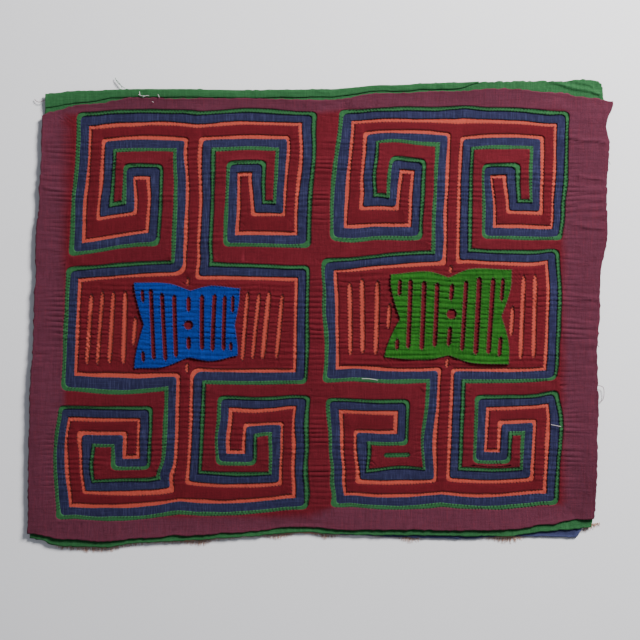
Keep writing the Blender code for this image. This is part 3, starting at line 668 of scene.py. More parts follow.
def middle_of_panel():
    """The middle of the box round the four cloths, which is the model's origin."""
    points = np.concatenate(
        [cloth_outline(cloth, EDGE_STEP, SIDE_STEP) for cloth in ("orange", "navy", "green", "maroon")]
    )
    return (points.min(0) + points.max(0)) / 2


MIDDLE = middle_of_panel()


# Heights of the cloths.


def box_round(unit, across, up, rim):
    """The sides of a box round a figure, by two of its arms' sizes and a rim round those."""
    figure, arms = UNITS[unit], arms_of(unit)
    left = figure["x"] - max(arm[across] for arm in arms if arm["side"] < 0) * MM - rim
    right = figure["x"] + max(arm[across] for arm in arms if arm["side"] > 0) * MM + rim
    bottom = figure["y"] - max(arm[up] for arm in arms if arm["rise"] < 0) * MM - rim
    top = figure["y"] + max(arm[up] for arm in arms if arm["rise"] > 0) * MM + rim
    return left, right, bottom, top


def unit_box(unit):
    """The sides of the box round one window of the ground cloth: left, right, bottom, top."""
    return box_round(unit, "reach", "top", CUTS["maroon"]["off"])


BOXES = [unit_box(unit) for unit in UNITS]


def margin_at(x, y, reach=MARGIN_REACH, inwards=0.0):
    """How loose the cloth lies at some points: 0 in the sewn pattern, 1 out in the margins."""
    left, right = BOXES[0], BOXES[1]
    share = ease(0.5 + (x - (left[1] + right[0]) / 2) / BETWEEN_REACH)
    bottom = left[2] + (right[2] - left[2]) * share
    top = left[3] + (right[3] - left[3]) * share
    out = np.maximum(np.maximum(left[0] - x, x - right[1]), np.maximum(bottom - y, y - top))
    return ease((out + inwards) / reach)


# The shortest run of a path that gathers the cloth, the way over which upright gathers give way
# to level ones, and the rim round a figure's box.
SHORTEST_RUN = 6 * MM
TURN_REACH = 7 * MM
BOX_RIM = 4 * MM


def straight_runs():
    """The straight runs of both figures' paths: their starts, their ends, and which are upright."""
    starts, stops, upright = [], [], []
    for unit in UNITS:
        corners = cut_corners(unit, 0.0)
        after = np.roll(corners, -1, 0)
        kept = np.linalg.norm(after - corners, axis=1) > SHORTEST_RUN
        starts.append(placed(unit, corners[kept]))
        stops.append(placed(unit, after[kept]))
        way = abs(after - corners)[kept]
        upright.append(way[:, 1] > way[:, 0])
    return np.concatenate(starts), np.concatenate(stops), np.concatenate(upright)


RUNS = straight_runs()


def uprightness(x, y):
    """1 where the nearest seams run up the panel, 0 where they run across it."""
    nearest = {True: np.full(len(x), 1.0), False: np.full(len(x), 1.0)}
    for start, stop, upright in zip(*RUNS):
        way = stop - start
        share = np.clip(((x - start[0]) * way[0] + (y - start[1]) * way[1]) / (way @ way), 0, 1)
        far = np.hypot(x - start[0] - share * way[0], y - start[1] - share * way[1])
        nearest[bool(upright)] = np.minimum(nearest[bool(upright)], far)
    share = ease(0.5 + (nearest[False] - nearest[True]) / TURN_REACH)
    for left, right, bottom, top in (box_area(unit) for unit in UNITS):
        inside = np.minimum(np.minimum(x - left, right - x), np.minimum(y - bottom, top - y))
        share = np.maximum(share, ease(inside / BOX_RIM))
    return share


def box_area(unit):
    """The sides of the box in the middle of a figure: left, right, bottom, top."""
    return box_round(unit, "wide", "box", BOX_RIM)


# Gathers: upright seams draw the cloth into short puckers across them, seams that run across
# hold it flatter, and the loose margins have wider and softer ones. How far apart they are, how
# high at most, and what share of that they are high on the whole.
PUCKER = {"pitch": 3.7 * MM, "high": 0.9 * MM, "even": 0.66}
PATCH_PUCKER = {"pitch": 3.1 * MM, "high": 0.3 * MM, "even": 0.6}
FLAT_PUCKER = {"pitch": 2.3 * MM, "high": 0.12 * MM, "even": 0.62}
WRINKLE = {"pitch": 7.0 * MM, "high": 0.85 * MM, "even": 0.30}
# How far they sway as a share of their distance, how uneven and how low their heights may be, how
# round they are, and how much longer a pucker's and a wrinkle's changes are along than across.
SWAY = 0.45
UNEVEN = 0.75
LOWEST = 0.05
ROUNDNESS = 0.7
RUN_LONG = 1.6
WRINKLE_LONG = 3


def ridges(along, kind, x, y, seed):
    """Rounded ridges with narrow hollows between them, along a line, uneven over the panel."""
    pitch = kind["pitch"]
    swayed = along / pitch + SWAY * cloud(x, y, 4 * pitch, 3 * pitch, seed)
    deep = kind["even"] + UNEVEN * cloud(x, y, 3 * pitch, 2 * pitch, seed + 1)
    return kind["high"] * np.clip(deep, LOWEST, 1.0) * abs(np.sin(math.pi * swayed)) ** ROUNDNESS


def gathers(layer, x, y, loose):
    """How far the gathers lift the cloth at some points."""
    upright = uprightness(x, y)
    height = (1 - loose) * upright * ridges(y, PUCKER, x / RUN_LONG, y, 41)
    if layer == "patch":
        height += ridges(y, PATCH_PUCKER, x / RUN_LONG, y, 61)
    height += (1 - loose) * (1 - upright) * ridges(x, FLAT_PUCKER, x, y, 44)
    height += loose * upright * ridges(y, WRINKLE, x / WRINKLE_LONG, y, 47)
    height += loose * (1 - upright) * ridges(x, WRINKLE, x, y / WRINKLE_LONG, 50) * 0.6
    return height


# Tucks in the cloths, where bands were taken in or a loose edge was creased: from where to where,
# in millimetres from the drawing's zero, and how high.
TUCK_COLUMNS = ("cloth", "from_x", "from_y", "to_x", "to_y", "high")
TUCKS = (
    ("navy", -166.0, 28.0, -106.0, 32.5, 0.55),
    ("navy", -167.0, 46.5, -115.0, 51.0, 0.45),
    ("navy", -77.0, 48.0, -18.0, 49.5, 0.35),
    ("navy", 5.0, 31.5, 82.0, 39.0, 0.55),
    ("navy", 10.0, 53.5, 66.0, 56.5, 0.40),
    ("green", 158.0, 162.0, 199.0, 152.0, 0.9),
    ("green", 172.0, 163.5, 192.0, 158.0, 0.6),
    ("maroon", 172.0, 122.0, 201.0, 118.5, 0.6),
    ("maroon", 176.0, 96.0, 200.0, 92.0, 0.5),
    ("maroon", 174.0, 62.0, 200.0, 57.0, 0.5),
    ("maroon", 176.0, 12.0, 196.0, 8.0, 0.5),
    ("maroon", -188.0, 108.0, -172.0, 104.5, 0.5),
    ("maroon", -196.0, 88.0, -176.0, 84.0, 0.5),
    ("maroon", -193.0, 46.0, -180.0, 42.0, 0.4),
)
TUCK_ABOVE = 2.0 * MM
TUCK_BELOW = 0.7 * MM
TUCK_SWAY = 0.4 * MM
TUCK_END = 0.12


def tucks(layer, x, y):
    """How far the tucks lift a cloth: steep below each tuck's line and softer above it."""
    height = np.zeros(len(x))
    for tuck in rows_of(TUCK_COLUMNS, TUCKS):
        if tuck["cloth"] != layer:
            continue
        start = np.array([tuck["from_x"], tuck["from_y"]]) * MM
        way = np.array([tuck["to_x"], tuck["to_y"]]) * MM - start
        share = ((x - start[0]) * way[0] + (y - start[1]) * way[1]) / (way @ way)
        over = ((y - start[1]) * way[0] - (x - start[0]) * way[1]) / np.linalg.norm(way)
        over = over - TUCK_SWAY * np.sin(11 * share)
        fall = np.where(over > 0, over / TUCK_ABOVE, over / TUCK_BELOW)
        ends = ease(share / TUCK_END) * ease((1 - share) / TUCK_END)
        height += tuck["high"] * MM * ends * np.exp(-(fall**2))
    return height


# How much of the gathers each cloth follows where it shows, and how far it lies down where the
# ground cloth's margins hide it.
FOLLOWS = {"orange": 0.7, "navy": 0.85, "figure": 0.75, "green": 0.9, "patch": 1.0, "maroon": 1.0}
HIDDEN = 0.75
LIFT_REACH = 14 * MM


def bed(layer, x, y):
    """The height of a cloth's upper side at some points of the panel, before its sewn edges."""
    loose = margin_at(x, y)
    height = (SEWN[layer] + (LOOSE[layer] - SEWN[layer]) * loose) * MM
    height += 0.10 * MM * cloud(x, y, 26 * MM, 22 * MM, 5)
    follows = 1.0 if layer == "maroon" else 1 - HIDDEN * margin_at(x, y, HIDDEN_REACH)
    height += FOLLOWS[layer] * follows * gathers(layer, x, y, loose)
    height += tucks(layer, x, y)
    if layer == "maroon":
        height += 0.06 * MM * cloud(x, y, 5 * MM, 5 * MM, 9)
        for lift in LIFTS:
            side = "right" if lift["side"] > 0 else "left"
            edge = read_at(SIDE_COLUMNS, SIDES, "y", y, side)
            near = ease(1 - abs(x - edge) / LIFT_REACH)
            height += lift["height"] * near * np.exp(-(((y - lift["at"]) / lift["spread"]) ** 2))
    return height


# Cloth meshes.


def facing(points):
    """Unit vectors at each point of a closed line, at right angles to it, to its left."""
    into = points - np.roll(points, 1, 0)
    away = np.roll(points, -1, 0) - points
    into /= np.linalg.norm(into, axis=1)[:, None]
    away /= np.linalg.norm(away, axis=1)[:, None]
    middle = into + away
    middle /= np.maximum(np.linalg.norm(middle, axis=1), 1e-9)[:, None]
    reach = 1 / np.maximum(0.6, (middle * into).sum(1))
    return np.stack([-middle[:, 1], middle[:, 0]], 1) * reach[:, None]


def lengths_along(points):
    """How far along a closed line each point lies."""
    return np.cumsum(np.linalg.norm(points - np.roll(points, 1, 0), axis=1))


class Cloth:
    """A cloth being made: its mesh, with each point's sewn relief and closeness to an edge."""

    def __init__(self, name, layer):
        self.name, self.layer = name, layer
        self.mesh = bmesh.new()
        self.column = self.mesh.verts.layers.int.new("column")
        self.relief = self.mesh.verts.layers.float.new("relief")
        self.edge = self.mesh.verts.layers.float.new("edge")
        self.raw = self.mesh.verts.layers.float.new("raw")
        self.open_edges = []

    def next_to(self, before):
        """Adds a row of points and edges joined to the edges before it. Returns both."""
        made = bmesh.ops.extrude_edge_only(self.mesh, edges=before)["geom"]
        verts = [item for item in made if isinstance(item, bmesh.types.BMVert)]
        kept = set(verts)
        edges = [item for item in made if isinstance(item, bmesh.types.BMEdge)]
        return verts, [edge for edge in edges if kept.issuperset(edge.verts)]

    def ring(self, points, relief, edge, before, raw=0.0):
        """Adds one ring of points, joined to the ring before it. Returns its edges."""
        if before is None:
            verts = [self.mesh.verts.new((x, y, 0)) for x, y in points]
            for i, vert in enumerate(verts):
                vert[self.column] = i
            edges = [self.mesh.edges.new(pair) for pair in zip(verts, verts[1:] + verts[:1])]
        else:
            verts, edges = self.next_to(before)
        for vert in verts:
            i = vert[self.column]
            vert.co.xy = points[i]
            vert[self.relief] = relief[i]
            vert[self.edge] = edge
            vert[self.raw] = raw
        return edges

    def rings(self, rings):
        """Adds rings one after another. The last one is left open for the fill."""
        edges = None
        for points, relief, edge in rings:
            edges = self.ring(points, relief, edge, edges)
        self.open_edges += edges

    def cut_across(self, faces, axis, place):
        """Cuts the faces that lie across one place on an axis. Returns all the faces."""
        point, normal = [0.0, 0.0, 0.0], [0.0, 0.0, 0.0]
        point[axis], normal[axis] = place, 1.0
        crossed = []
        for face in faces:
            spots = [vert.co[axis] for vert in face.verts]
            if min(spots) < place < max(spots):
                crossed.append(face)
        around = set(crossed)
        around.update(edge for face in crossed for edge in face.edges)
        around.update(vert for face in crossed for vert in face.verts)
        cut = bmesh.ops.bisect_plane(
            self.mesh, geom=list(around), dist=0.02 * MM, plane_co=point, plane_no=normal
        )["geom"]
        gone = set(crossed)
        left = [face for face in faces if face not in gone]
        return left + [item for item in cut if isinstance(item, bmesh.types.BMFace)]

    def fill(self, strips=()):
        """Fills between the open rings, and divides what lies in each strip on a grid."""
        made = bmesh.ops.triangle_fill(
            self.mesh, use_beauty=True, use_dissolve=False, edges=self.open_edges, normal=(0, 0, 1)
        )["geom"]
        faces = [item for item in made if isinstance(item, bmesh.types.BMFace)]
        for (left, right, bottom, top), steps in strips:
            inside = []
            for face in faces:
                middle = face.calc_center_median() if face.is_valid else None
                if middle and left < middle.x < right and bottom < middle.y < top:
                    inside.append(face)
            for axis, low, high in ((0, left, right), (1, bottom, top)):
                for place in evenly(low, high, steps[axis])[1:-1]:
                    inside = self.cut_across(inside, axis, place)
        many_sided = [face for face in self.mesh.faces if len(face.verts) > 4]
        bmesh.ops.triangulate(self.mesh, faces=many_sided)

    def finish(self, material):
        """Sets the heights and makes the cloth an object with its thickness."""
        bmesh.ops.recalc_face_normals(self.mesh, faces=self.mesh.faces)
        if sum(face.normal.z * face.calc_area() for face in self.mesh.faces) < 0:
            bmesh.ops.reverse_faces(self.mesh, faces=self.mesh.faces)
        mesh = bpy.data.meshes.new(self.name)
        self.mesh.to_mesh(mesh)
        self.mesh.free()
        count = len(mesh.vertices)
        places = np.empty(count * 3)
        mesh.vertices.foreach_get("co", places)
        places = places.reshape(-1, 3)
        relief = np.empty(count)
        mesh.attributes["relief"].data.foreach_get("value", relief)
        x, y = places[:, 0], places[:, 1]
        places[:, 2] = bed(self.layer, x, y) + relief
        places[:, :2] -= MIDDLE
        mesh.vertices.foreach_set("co", places.ravel())
        for name in ("column", "relief"):
            mesh.attributes.remove(mesh.attributes[name])
        mesh.shade_smooth()
        mesh.materials.append(material)
        piece = bpy.data.objects.new(self.name, mesh)
        bpy.context.scene.collection.objects.link(piece)
        solidify = piece.modifiers.new("thickness", "SOLIDIFY")
        solidify.thickness = THIN
        solidify.offset = -1.0
        return piece


# For each cloth, where its stitches go.
STITCHES = {}

# How much a stitch pinches the edge down and in, and how far each of these reaches into the cloth.
PINCH = 0.20 * MM
PINCH_REACH = 0.9 * MM
NOTCH_REACH = 0.6 * MM
WANDER_REACH = 4 * MM
# How far into the cloth the painted highlight along a rolled edge reaches.
EDGE_REACH = 0.6 * MM


def sewn_relief(into, along, phase, crown, seed):
    """The relief of a sewn edge, by how far into the cloth, how far along and between stitches."""
    turned = np.clip(ROLL - into, 0, None)
    relief = -(ROLL - np.sqrt(np.maximum(ROLL**2 - turned**2, 0)))
    pinch = np.where(phase == 0, -1.0, 0.7)
    relief = relief + crown + PINCH * pinch * math.exp(-into / PINCH_REACH)
    relief += 0.08 * MM * drift(along, 11 * MM, seed + 2) * math.exp(-into / (2.5 * MM))
    return relief


def note_stitches(layer, phase, edge, inner, relief):
    """Keeps where the stitches over an edge go."""
    rows = STITCHES.setdefault(layer, [])
    for i in np.flatnonzero(phase == 0):
        rows.append((edge[i], inner[i], relief[i]))


def sew_cut(cloth, unit, sign, crown_wide, crown_high, seed):
    """Adds the rings of a cloth's cut edge round a figure, outwards or inwards from it by sign."""
    off = CUTS[cloth.layer]["off"]
    line = CutLine(unit, off)
    wander = 0.40 * MM * drift(line.along, 17 * MM, seed)
    wander += 0.15 * MM * drift(line.along, 6 * MM, seed + 3)
    wander *= np.sin(math.pi * line.along / line.along[-1]) ** 0.2
    made = []
    for step in RINGS[cloth.layer]:
        into = step * MM
        fading = math.exp(-into / WANDER_REACH)
        notch = np.where(line.phase == 0, 0.12, -0.08) * MM * math.exp(-into / NOTCH_REACH)
        points = line.at(off + sign * into, wander * fading + sign * notch)
        crown = crown_high * math.sin(math.pi * min(1.0, into / crown_wide))
        relief = sewn_relief(into, line.along, line.phase, crown, seed)
        made.append((points, relief, math.exp(-into / EDGE_REACH)))
    cloth.rings(made)
    note_stitches(cloth.name, line.phase, made[0][0], made[3][0], made[2][1])


def sew_outline(cloth, outline, away, rings, seed):
    """Adds the rings of a small cut edge away from its outline, such as that of a slit."""
    along = lengths_along(outline)
    phase = np.arange(len(outline)) % 2 * 0.5
    made = []
    for step in RINGS[rings]:
        into = step * MM
        relief = sewn_relief(into, along, phase, 0.0, seed)
        made.append((outline + away * into, relief, math.exp(-into / EDGE_REACH)))
    cloth.rings(made)
    note_stitches(cloth.name, phase, made[0][0], made[-1][0], made[2][1])


def drawn_inwards(outline):
    """For each point of an outline, where it moves for each metre that the outline is drawn in."""
    low, high = outline.min(0), outline.max(0)
    return ((low + high) / 2 - outline) / ((high - low) / 2)


# How far in from a raw edge its colour fades, its line is ragged and its curl reaches.
FADE = 2.2 * MM
FRAY_REACH = 1.5 * MM
CURL_REACH = 2.5 * MM


def raw_edge(cloth, outline, frayed, curl, seed):
    """Adds the rings of a cloth's cut outer edge, inwards from its outline, which runs clockwise.

    Returns the edges of the outermost ring.
    """
    along = lengths_along(outline)
    inwards = drawn_inwards(outline)
    ragged = frayed * (0.6 * drift(along, 2.2 * MM, seed) + 0.4 * drift(along, 9 * MM, seed + 1))
    edges, outermost = None, None
    for step in RINGS["raw"]:
        into = step * MM
        fading = math.exp(-into / FRAY_REACH)
        relief = np.full(len(along), curl * math.exp(-into / CURL_REACH))
        relief += 0.12 * MM * drift(along, 3.5 * MM, seed + 2) * fading
        points = outline + inwards * (into + ragged[:, None] * fading)
        # The raw edge gets the painted highlight too, fading inwards.
        edges = cloth.ring(points, relief, 0.6 * fading, edges, math.exp(-into / FADE))
        outermost = outermost or edges
    cloth.open_edges += edges
    return outermost


# Materials.


class Wire:
    """A shader socket that sums and products can be written with."""

    def __init__(self, paint, socket):
        self.paint, self.socket = paint, socket

    def maths(self, operation, *values):
        return self.paint.node("ShaderNodeMath", {"operation": operation}, dict(enumerate(values)))

    def __add__(self, other):
        return self.maths("ADD", self, other)

    def __sub__(self, other):
        return self.maths("SUBTRACT", self, other)

    def __rsub__(self, other):
        return self.maths("SUBTRACT", other, self)

    def __mul__(self, other):
        return self.maths("MULTIPLY", self, other)

    __rmul__ = __mul__

    def sine(self):
        return self.maths("SINE", self)

    def above(self, level, softness):
        """0 below a level and 1 above it, with a soft step between."""
        return ((self - level) * (1 / softness) + 0.5).clamped()

    def clamped(self):
        return self.paint.node(
            "ShaderNodeMath", {"operation": "ADD", "use_clamp": True}, {0: self, 1: 0.0}
        )


class Paint:
    """A material's nodes."""

    def __init__(self, name, roughness, sheen=0.0):
        self.material = bpy.data.materials.new(name)
        self.material.use_nodes = True
        self.tree = self.material.node_tree
        self.shader = self.tree.nodes["Principled BSDF"]
        self.shader.inputs["Roughness"].default_value = roughness
        self.shader.inputs["Specular IOR Level"].default_value = 0.08
        self.shader.inputs["Sheen Weight"].default_value = sheen
        self.shader.inputs["Sheen Roughness"].default_value = 0.6

    def node(self, kind, settings=None, inputs=None, output=0):
        made = self.tree.nodes.new(kind)
        for name, value in (settings or {}).items():
            setattr(made, name, value)
        for name, value in (inputs or {}).items():
            self.link(value, made.inputs[name])
        return Wire(self, made.outputs[output])

    def link(self, value, socket):
        if isinstance(value, Wire):
            self.tree.links.new(value.socket, socket)
        else:
            socket.default_value = value

    def feed(self, name, value):
        self.link(value, self.shader.inputs[name])

    def mixed(self, share, low, high):
        """A colour between two, by a share."""
        return self.node(
            "ShaderNodeMix", {"data_type": "RGBA"}, {0: share, 6: low, 7: high}, output=2
        )

    def tinted(self, colour, by):
        """A colour made darker or lighter by a factor."""
        grey = self.node("ShaderNodeCombineXYZ", None, {0: by, 1: by, 2: by})
        settings = {"data_type": "RGBA", "blend_type": "MULTIPLY"}
        return self.node("ShaderNodeMix", settings, {0: 1.0, 6: colour, 7: grey}, output=2)

    def attribute(self, name):
        """A value kept on the mesh's points."""
        return self.node("ShaderNodeAttribute", {"attribute_name": name}, output="Fac")

    def place(self):
        """The point's place in the panel."""
        return self.node("ShaderNodeTexCoord", output="Object")

    def noise(self, place, stretch, scale, detail=2.0):
        """Noise stretched along the panel's axes."""
        moved = self.node("ShaderNodeMapping", None, {"Vector": place, "Scale": stretch})
        return self.node(
            "ShaderNodeTexNoise", None, {"Vector": moved, "Scale": scale, "Detail": detail}
        )


def linear(red, green, blue):
    """A colour measured in the usual 0 to 255 steps, as the shader's linear one."""
    steps = [value / 255 for value in (red, green, blue)]
    return (*[s / 12.92 if s <= 0.04045 else ((s + 0.055) / 1.055) ** 2.4 for s in steps], 1.0)


# Cotton cloths: the colour of most threads, and of the paler and the darker ones, how many pale
# slubs show, and the colour of the threads at a frayed edge.
COTTONS = {
    "orange": {"main": (160, 65, 53), "pale": (188, 86, 70), "dark": (126, 46, 40), "slub": 0.35},
    "navy": {"main": (30, 31, 59), "pale": (68, 72, 108), "dark": (16, 17, 36), "slub": 0.6},
    "green": {"main": (38, 84, 48), "pale": (64, 112, 72), "dark": (18, 56, 30), "slub": 0.4},
    "maroon": {"main": (84, 15, 26), "pale": (104, 32, 44), "dark": (60, 10, 18), "slub": 0.45},
    "figure": {"main": (84, 14, 24), "pale": (106, 27, 36), "dark": (60, 9, 16), "slub": 0.4},
    "blue": {"main": (3, 40, 116), "pale": (22, 66, 144), "dark": (2, 22, 76), "slub": 0.35},
    "leaf": {"main": (24, 78, 17), "pale": (50, 106, 36), "dark": (10, 46, 9), "slub": 0.5},
}
FRAYED = {"orange": (198, 150, 126), "navy": (66, 72, 108), "maroon": (104, 46, 60)}
YARN = 0.42 * MM
# The colour of the painted purple sheen on the ground cloth's margins.
MARGIN_SHEEN_MAROON = (79, 36, 52)


def cotton(name, colours, margin=None, raw=None):
    """Plain woven cotton with slubby threads, painted paler as a highlight where a sewn edge stands
    up, and with painted shade where the weave dips.
    """
    paint = Paint(name, 0.92, sheen=0.02)
    place = paint.place()
    axes = paint.tree.nodes.new("ShaderNodeSeparateXYZ")
    paint.link(place, axes.inputs[0])
    across, up = Wire(paint, axes.outputs[0]), Wire(paint, axes.outputs[1])
    wobble = paint.noise(place, (1, 1, 1), 90.0) - 0.5
    turns = math.tau / YARN
    warp = ((across + wobble * (0.9 * MM)) * turns).sine()
    weft = ((up + wobble * (0.9 * MM)) * turns).sine()
    weave = warp * weft
    along_rows = paint.noise(place, (0.06, 1.0, 0.06), 1500.0)
    along_columns = paint.noise(place, (1.0, 0.06, 0.06), 1500.0)
    slubs = along_rows.above(0.64, 0.16) * 0.6 + along_columns.above(0.60, 0.18)
    hollows = along_rows.above(0.40, 0.2) * along_columns.above(0.40, 0.2)
    main, pale, dark = (linear(*colours[key]) for key in ("main", "pale", "dark"))
    # On the ground cloth the colour goes over to a painted purple sheen out in the margins.
    if margin:
        main = paint.mixed(paint.attribute("margin"), main, linear(*margin))
    colour = paint.mixed((1 - hollows) * 0.35, main, dark)
    colour = paint.mixed(slubs * (0.5 * colours["slub"]), colour, pale)
    mottle = paint.noise(place, (1, 1, 1), 22.0, 4.0) * 0.30 + 0.85
    # The weave term darkens the colour where the weave's bump dips: painted shade in the weave's
    # hollows. The mottle is the cloth's own uneven tone.
    shade = mottle * (1.0 - 0.10 * (weave * -0.5 + 0.5))
    # Painted highlight: the colour goes paler along each raised, rolled edge, where it would catch the
    # light.
    edge_highlight = paint.attribute("edge") * paint.noise(place, (1, 1, 1), 700.0).above(0.5, 0.4)
    colour = paint.mixed(edge_highlight * 0.20, colour, pale)
    if raw:
        faded = paint.attribute("raw") * (paint.noise(place, (1, 1, 1), 400.0) * 0.6 + 0.7)
        colour = paint.mixed(faded.clamped(), colour, linear(*raw))
    paint.feed("Base Color", paint.tinted(colour, shade))
    fine = paint.noise(place, (1, 1, 1), 420.0, 3.0)
    height = weave * 0.3 + along_rows * 0.4 + along_columns * 0.4 + fine * 1.6
    bump = {"Height": height, "Strength": 0.7, "Distance": 0.26 * MM}
    paint.feed("Normal", paint.node("ShaderNodeBump", None, bump))
    return paint.material


def thread(name, colour, dark):
    """Sewing thread: a plain colour with painted shade in the hollows of its twist."""
    paint = Paint(name, 0.75, sheen=0.1)
    twist_shade = paint.noise(paint.place(), (1, 1, 1), 2600.0).above(0.5, 0.5)
    paint.feed("Base Color", paint.mixed(twist_shade, linear(*dark), linear(*colour)))
    return paint.material


def table_top():
    """The pale, smooth table."""
    paint = Paint("pale_table", 0.55)
    shade = paint.noise(paint.place(), (1, 1, 1), 14.0, 3.0) * 0.03 + 0.985
    paint.feed("Base Color", paint.tinted(TABLE_COLOUR, shade))
    return paint.material


# The cloths.


# How far apart points are on an outer edge, how far in from a cut edge each cloth swells and how
# high.
EDGE_POINT = 1.6 * MM
CROWNS = {
    "maroon": (3.4 * MM, 0.10 * MM),
    "green": (1.4 * MM, 0.08 * MM),
    "navy": (5.8 * MM, 0.18 * MM),
    "figure": (3.2 * MM, 0.16 * MM),
}

# How far up a cloth's bottom edge has come loose into threads, and where "bottom" begins.
LOOSE_ENDS = {"orange": 1.8 * MM, "navy": 0.6 * MM}
LOOSE_FROM = -130 * MM
LOOSE_OVER = 20 * MM


def shrunk(layer, outline):
    """An outline with its bottom edge drawn up, where the cloth's threads have come loose."""
    low = ease((LOOSE_FROM - outline[:, 1]) / LOOSE_OVER)
    return outline + np.stack([np.zeros(len(outline)), low * LOOSE_ENDS.get(layer, 0.0)], 1)


def panel_cloth(name, layer, frayed, curl, seed):
    """One of the upper cloths, with windows round both figures, and the edges of its outline."""
    cloth = Cloth(name, layer)
    outline = shrunk(layer, cloth_outline(layer, EDGE_POINT, EDGE_POINT))
    outermost = raw_edge(cloth, outline, frayed, curl, seed)
    for i, unit in enumerate(UNITS):
        sew_cut(cloth, unit, 1, *CROWNS[layer], seed + 20 * (i + 1))
    return cloth, outermost


def dress(piece, node, layer):
    """Attaches a finished cloth to the panel's body and hides the model's solid that it stands for.
    The layer is not used.
    """
    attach(piece, "root")
    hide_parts(node)


def margin_sheen(piece):
    """Keeps on each point of the ground cloth how far out in the margin it is, which sets its painted
    purple sheen.
    """
    mesh = piece.data
    places = np.empty(len(mesh.vertices) * 3)
    mesh.vertices.foreach_get("co", places)
    places = places.reshape(-1, 3)
    x, y = places[:, 0] + MIDDLE[0], places[:, 1] + MIDDLE[1]
    values = margin_at(x, y, TINT_REACH, TINT_INWARDS)
    kept = mesh.attributes.new("margin", "FLOAT", "POINT")
    kept.data.foreach_set("value", values.astype(np.float32))


# Places past every side and past the top and bottom of the panel.
PAST_SIDES = 212 * MM
PAST_ENDS = 172 * MM


def margins():
    """The loose margins and the gap between the windows, and how finely each is divided."""
    left, right = BOXES[0], BOXES[1]
    low, high = min(left[2], right[2]) + 4 * MM, max(left[3], right[3]) - 6 * MM
    first, last = left[0] + 3 * MM, right[1] - 3 * MM
    fine, coarse = 1.5 * MM, 4.5 * MM
    return [
        ((-PAST_SIDES, first, -PAST_ENDS, PAST_ENDS), (coarse, fine)),
        ((last, PAST_SIDES, -PAST_ENDS, PAST_ENDS), (coarse, fine)),
        ((first, last, -PAST_ENDS, low), (fine, coarse)),
        ((first, last, high, PAST_ENDS), (fine, coarse)),
        ((left[1] - 3 * MM, right[0] + 3 * MM, low, high), (3 * MM, fine)),
    ]


def maroon_ground():
    """The ground cloth, with a window round each figure and one small slit."""
    cloth, _ = panel_cloth("maroon_ground", "maroon", 0.8 * MM, 0.25 * MM, 100)
    slit = ground_slit()
    sew_outline(cloth, slit, -facing(slit), "slit", 140)
    cloth.fill(margins())
    piece = cloth.finish(cotton("maroon_cotton", COTTONS["maroon"], margin=MARGIN_SHEEN_MAROON))
    margin_sheen(piece)
    dress(piece, "maroon_ground_cloth", "maroon")
    return piece


# The flap's section from its fold: how far down the flap as a share of its width, how high over
# the cloth under it in millimetres, and how rough that line is.
FLAP_PATH = (
    (0.0, 0.10, 0.0),
    (0.03, 0.32, 0.10 * MM),
    (0.10, 0.42, 0.10 * MM),
    (0.28, 0.50, 0.10 * MM),
    (0.50, 0.45, 0.10 * MM),
    (0.75, 0.40, 0.15 * MM),
    (0.92, 0.32, 0.25 * MM),
    (1.0, 0.12, 0.35 * MM),
)
# The flap narrows over this length to this share at its end, its middle is crinkled this much,
# and an edge belongs to the cloth's top where it is this near.
FLAP_TAPER = 16 * MM
FLAP_NARROWEST = 0.12
CRINKLE = 0.30 * MM
ON_TOP = 1.5 * MM


def turn_over(cloth, outermost):
    """Turns the top edge of the green cloth forward over itself, as far as the flap goes."""
    edges = []
    for edge in outermost:
        x, y = np.array([vert.co[:2] for vert in edge.verts]).T
        if x.max() < FLAP_END and (abs(y - top_edge("green", x)) < ON_TOP).all():
            edges.append(edge)
    for back, up, rough in FLAP_PATH:
        verts, edges = cloth.next_to(edges)
        x = np.array([vert.co.x for vert in verts])
        taper = FLAP_NARROWEST + (1 - FLAP_NARROWEST) * ease((FLAP_END - x) / FLAP_TAPER)
        wide = read_at(FLAP_COLUMNS, FLAP, "x", x, "wide") * taper
        uneven = 0.5 * drift(x + 1, 3 * MM, 271) + 0.9 * drift(x + 1, 9 * MM, 272)
        drop = back * wide + rough * uneven
        section = np.full(len(x), back)
        crinkle = CRINKLE * (1 - abs(2 * back - 1)) * cloud(x, section, 5 * MM, 1.0, 273)
        for vert, down, high in zip(verts, top_edge("green", x) - drop, up * MM + crinkle):
            vert.co.y = down
            vert[cloth.relief] = high
            # A faint painted highlight over the flap's fold.
            vert[cloth.edge] = 0.3
            vert[cloth.raw] = 0.0


def green_layer():
    """The green cloth, which shows as a line round each window and past the ground cloth."""
    cloth, outermost = panel_cloth("green_layer", "green", 0.9 * MM, 0.3 * MM, 200)
    turn_over(cloth, outermost)
    cloth.fill([((100 * MM, 210 * MM, 148 * MM, 170 * MM), (2.0 * MM, 0.8 * MM))])
    piece = cloth.finish(cotton("green_cotton", COTTONS["green"]))
    dress(piece, "green_cloth", "green")
    return piece


def navy_layer():
    """The navy cloth, a wide band round each figure."""
    cloth, _ = panel_cloth("navy_layer", "navy", 0.6 * MM, 0.1 * MM, 300)
    cloth.fill()
    piece = cloth.finish(cotton("navy_cotton", COTTONS["navy"], raw=FRAYED["navy"]))
    dress(piece, "navy_cloth", "navy")
    return piece


# The orange line between a figure and the navy cloth: its middle from the path, its width in
# millimetres, and how far apart its puckers are.
ORANGE_MIDDLE = 4.6 * MM
ORANGE_WIDE = 2.7
ORANGE_PITCH = 3.4 * MM


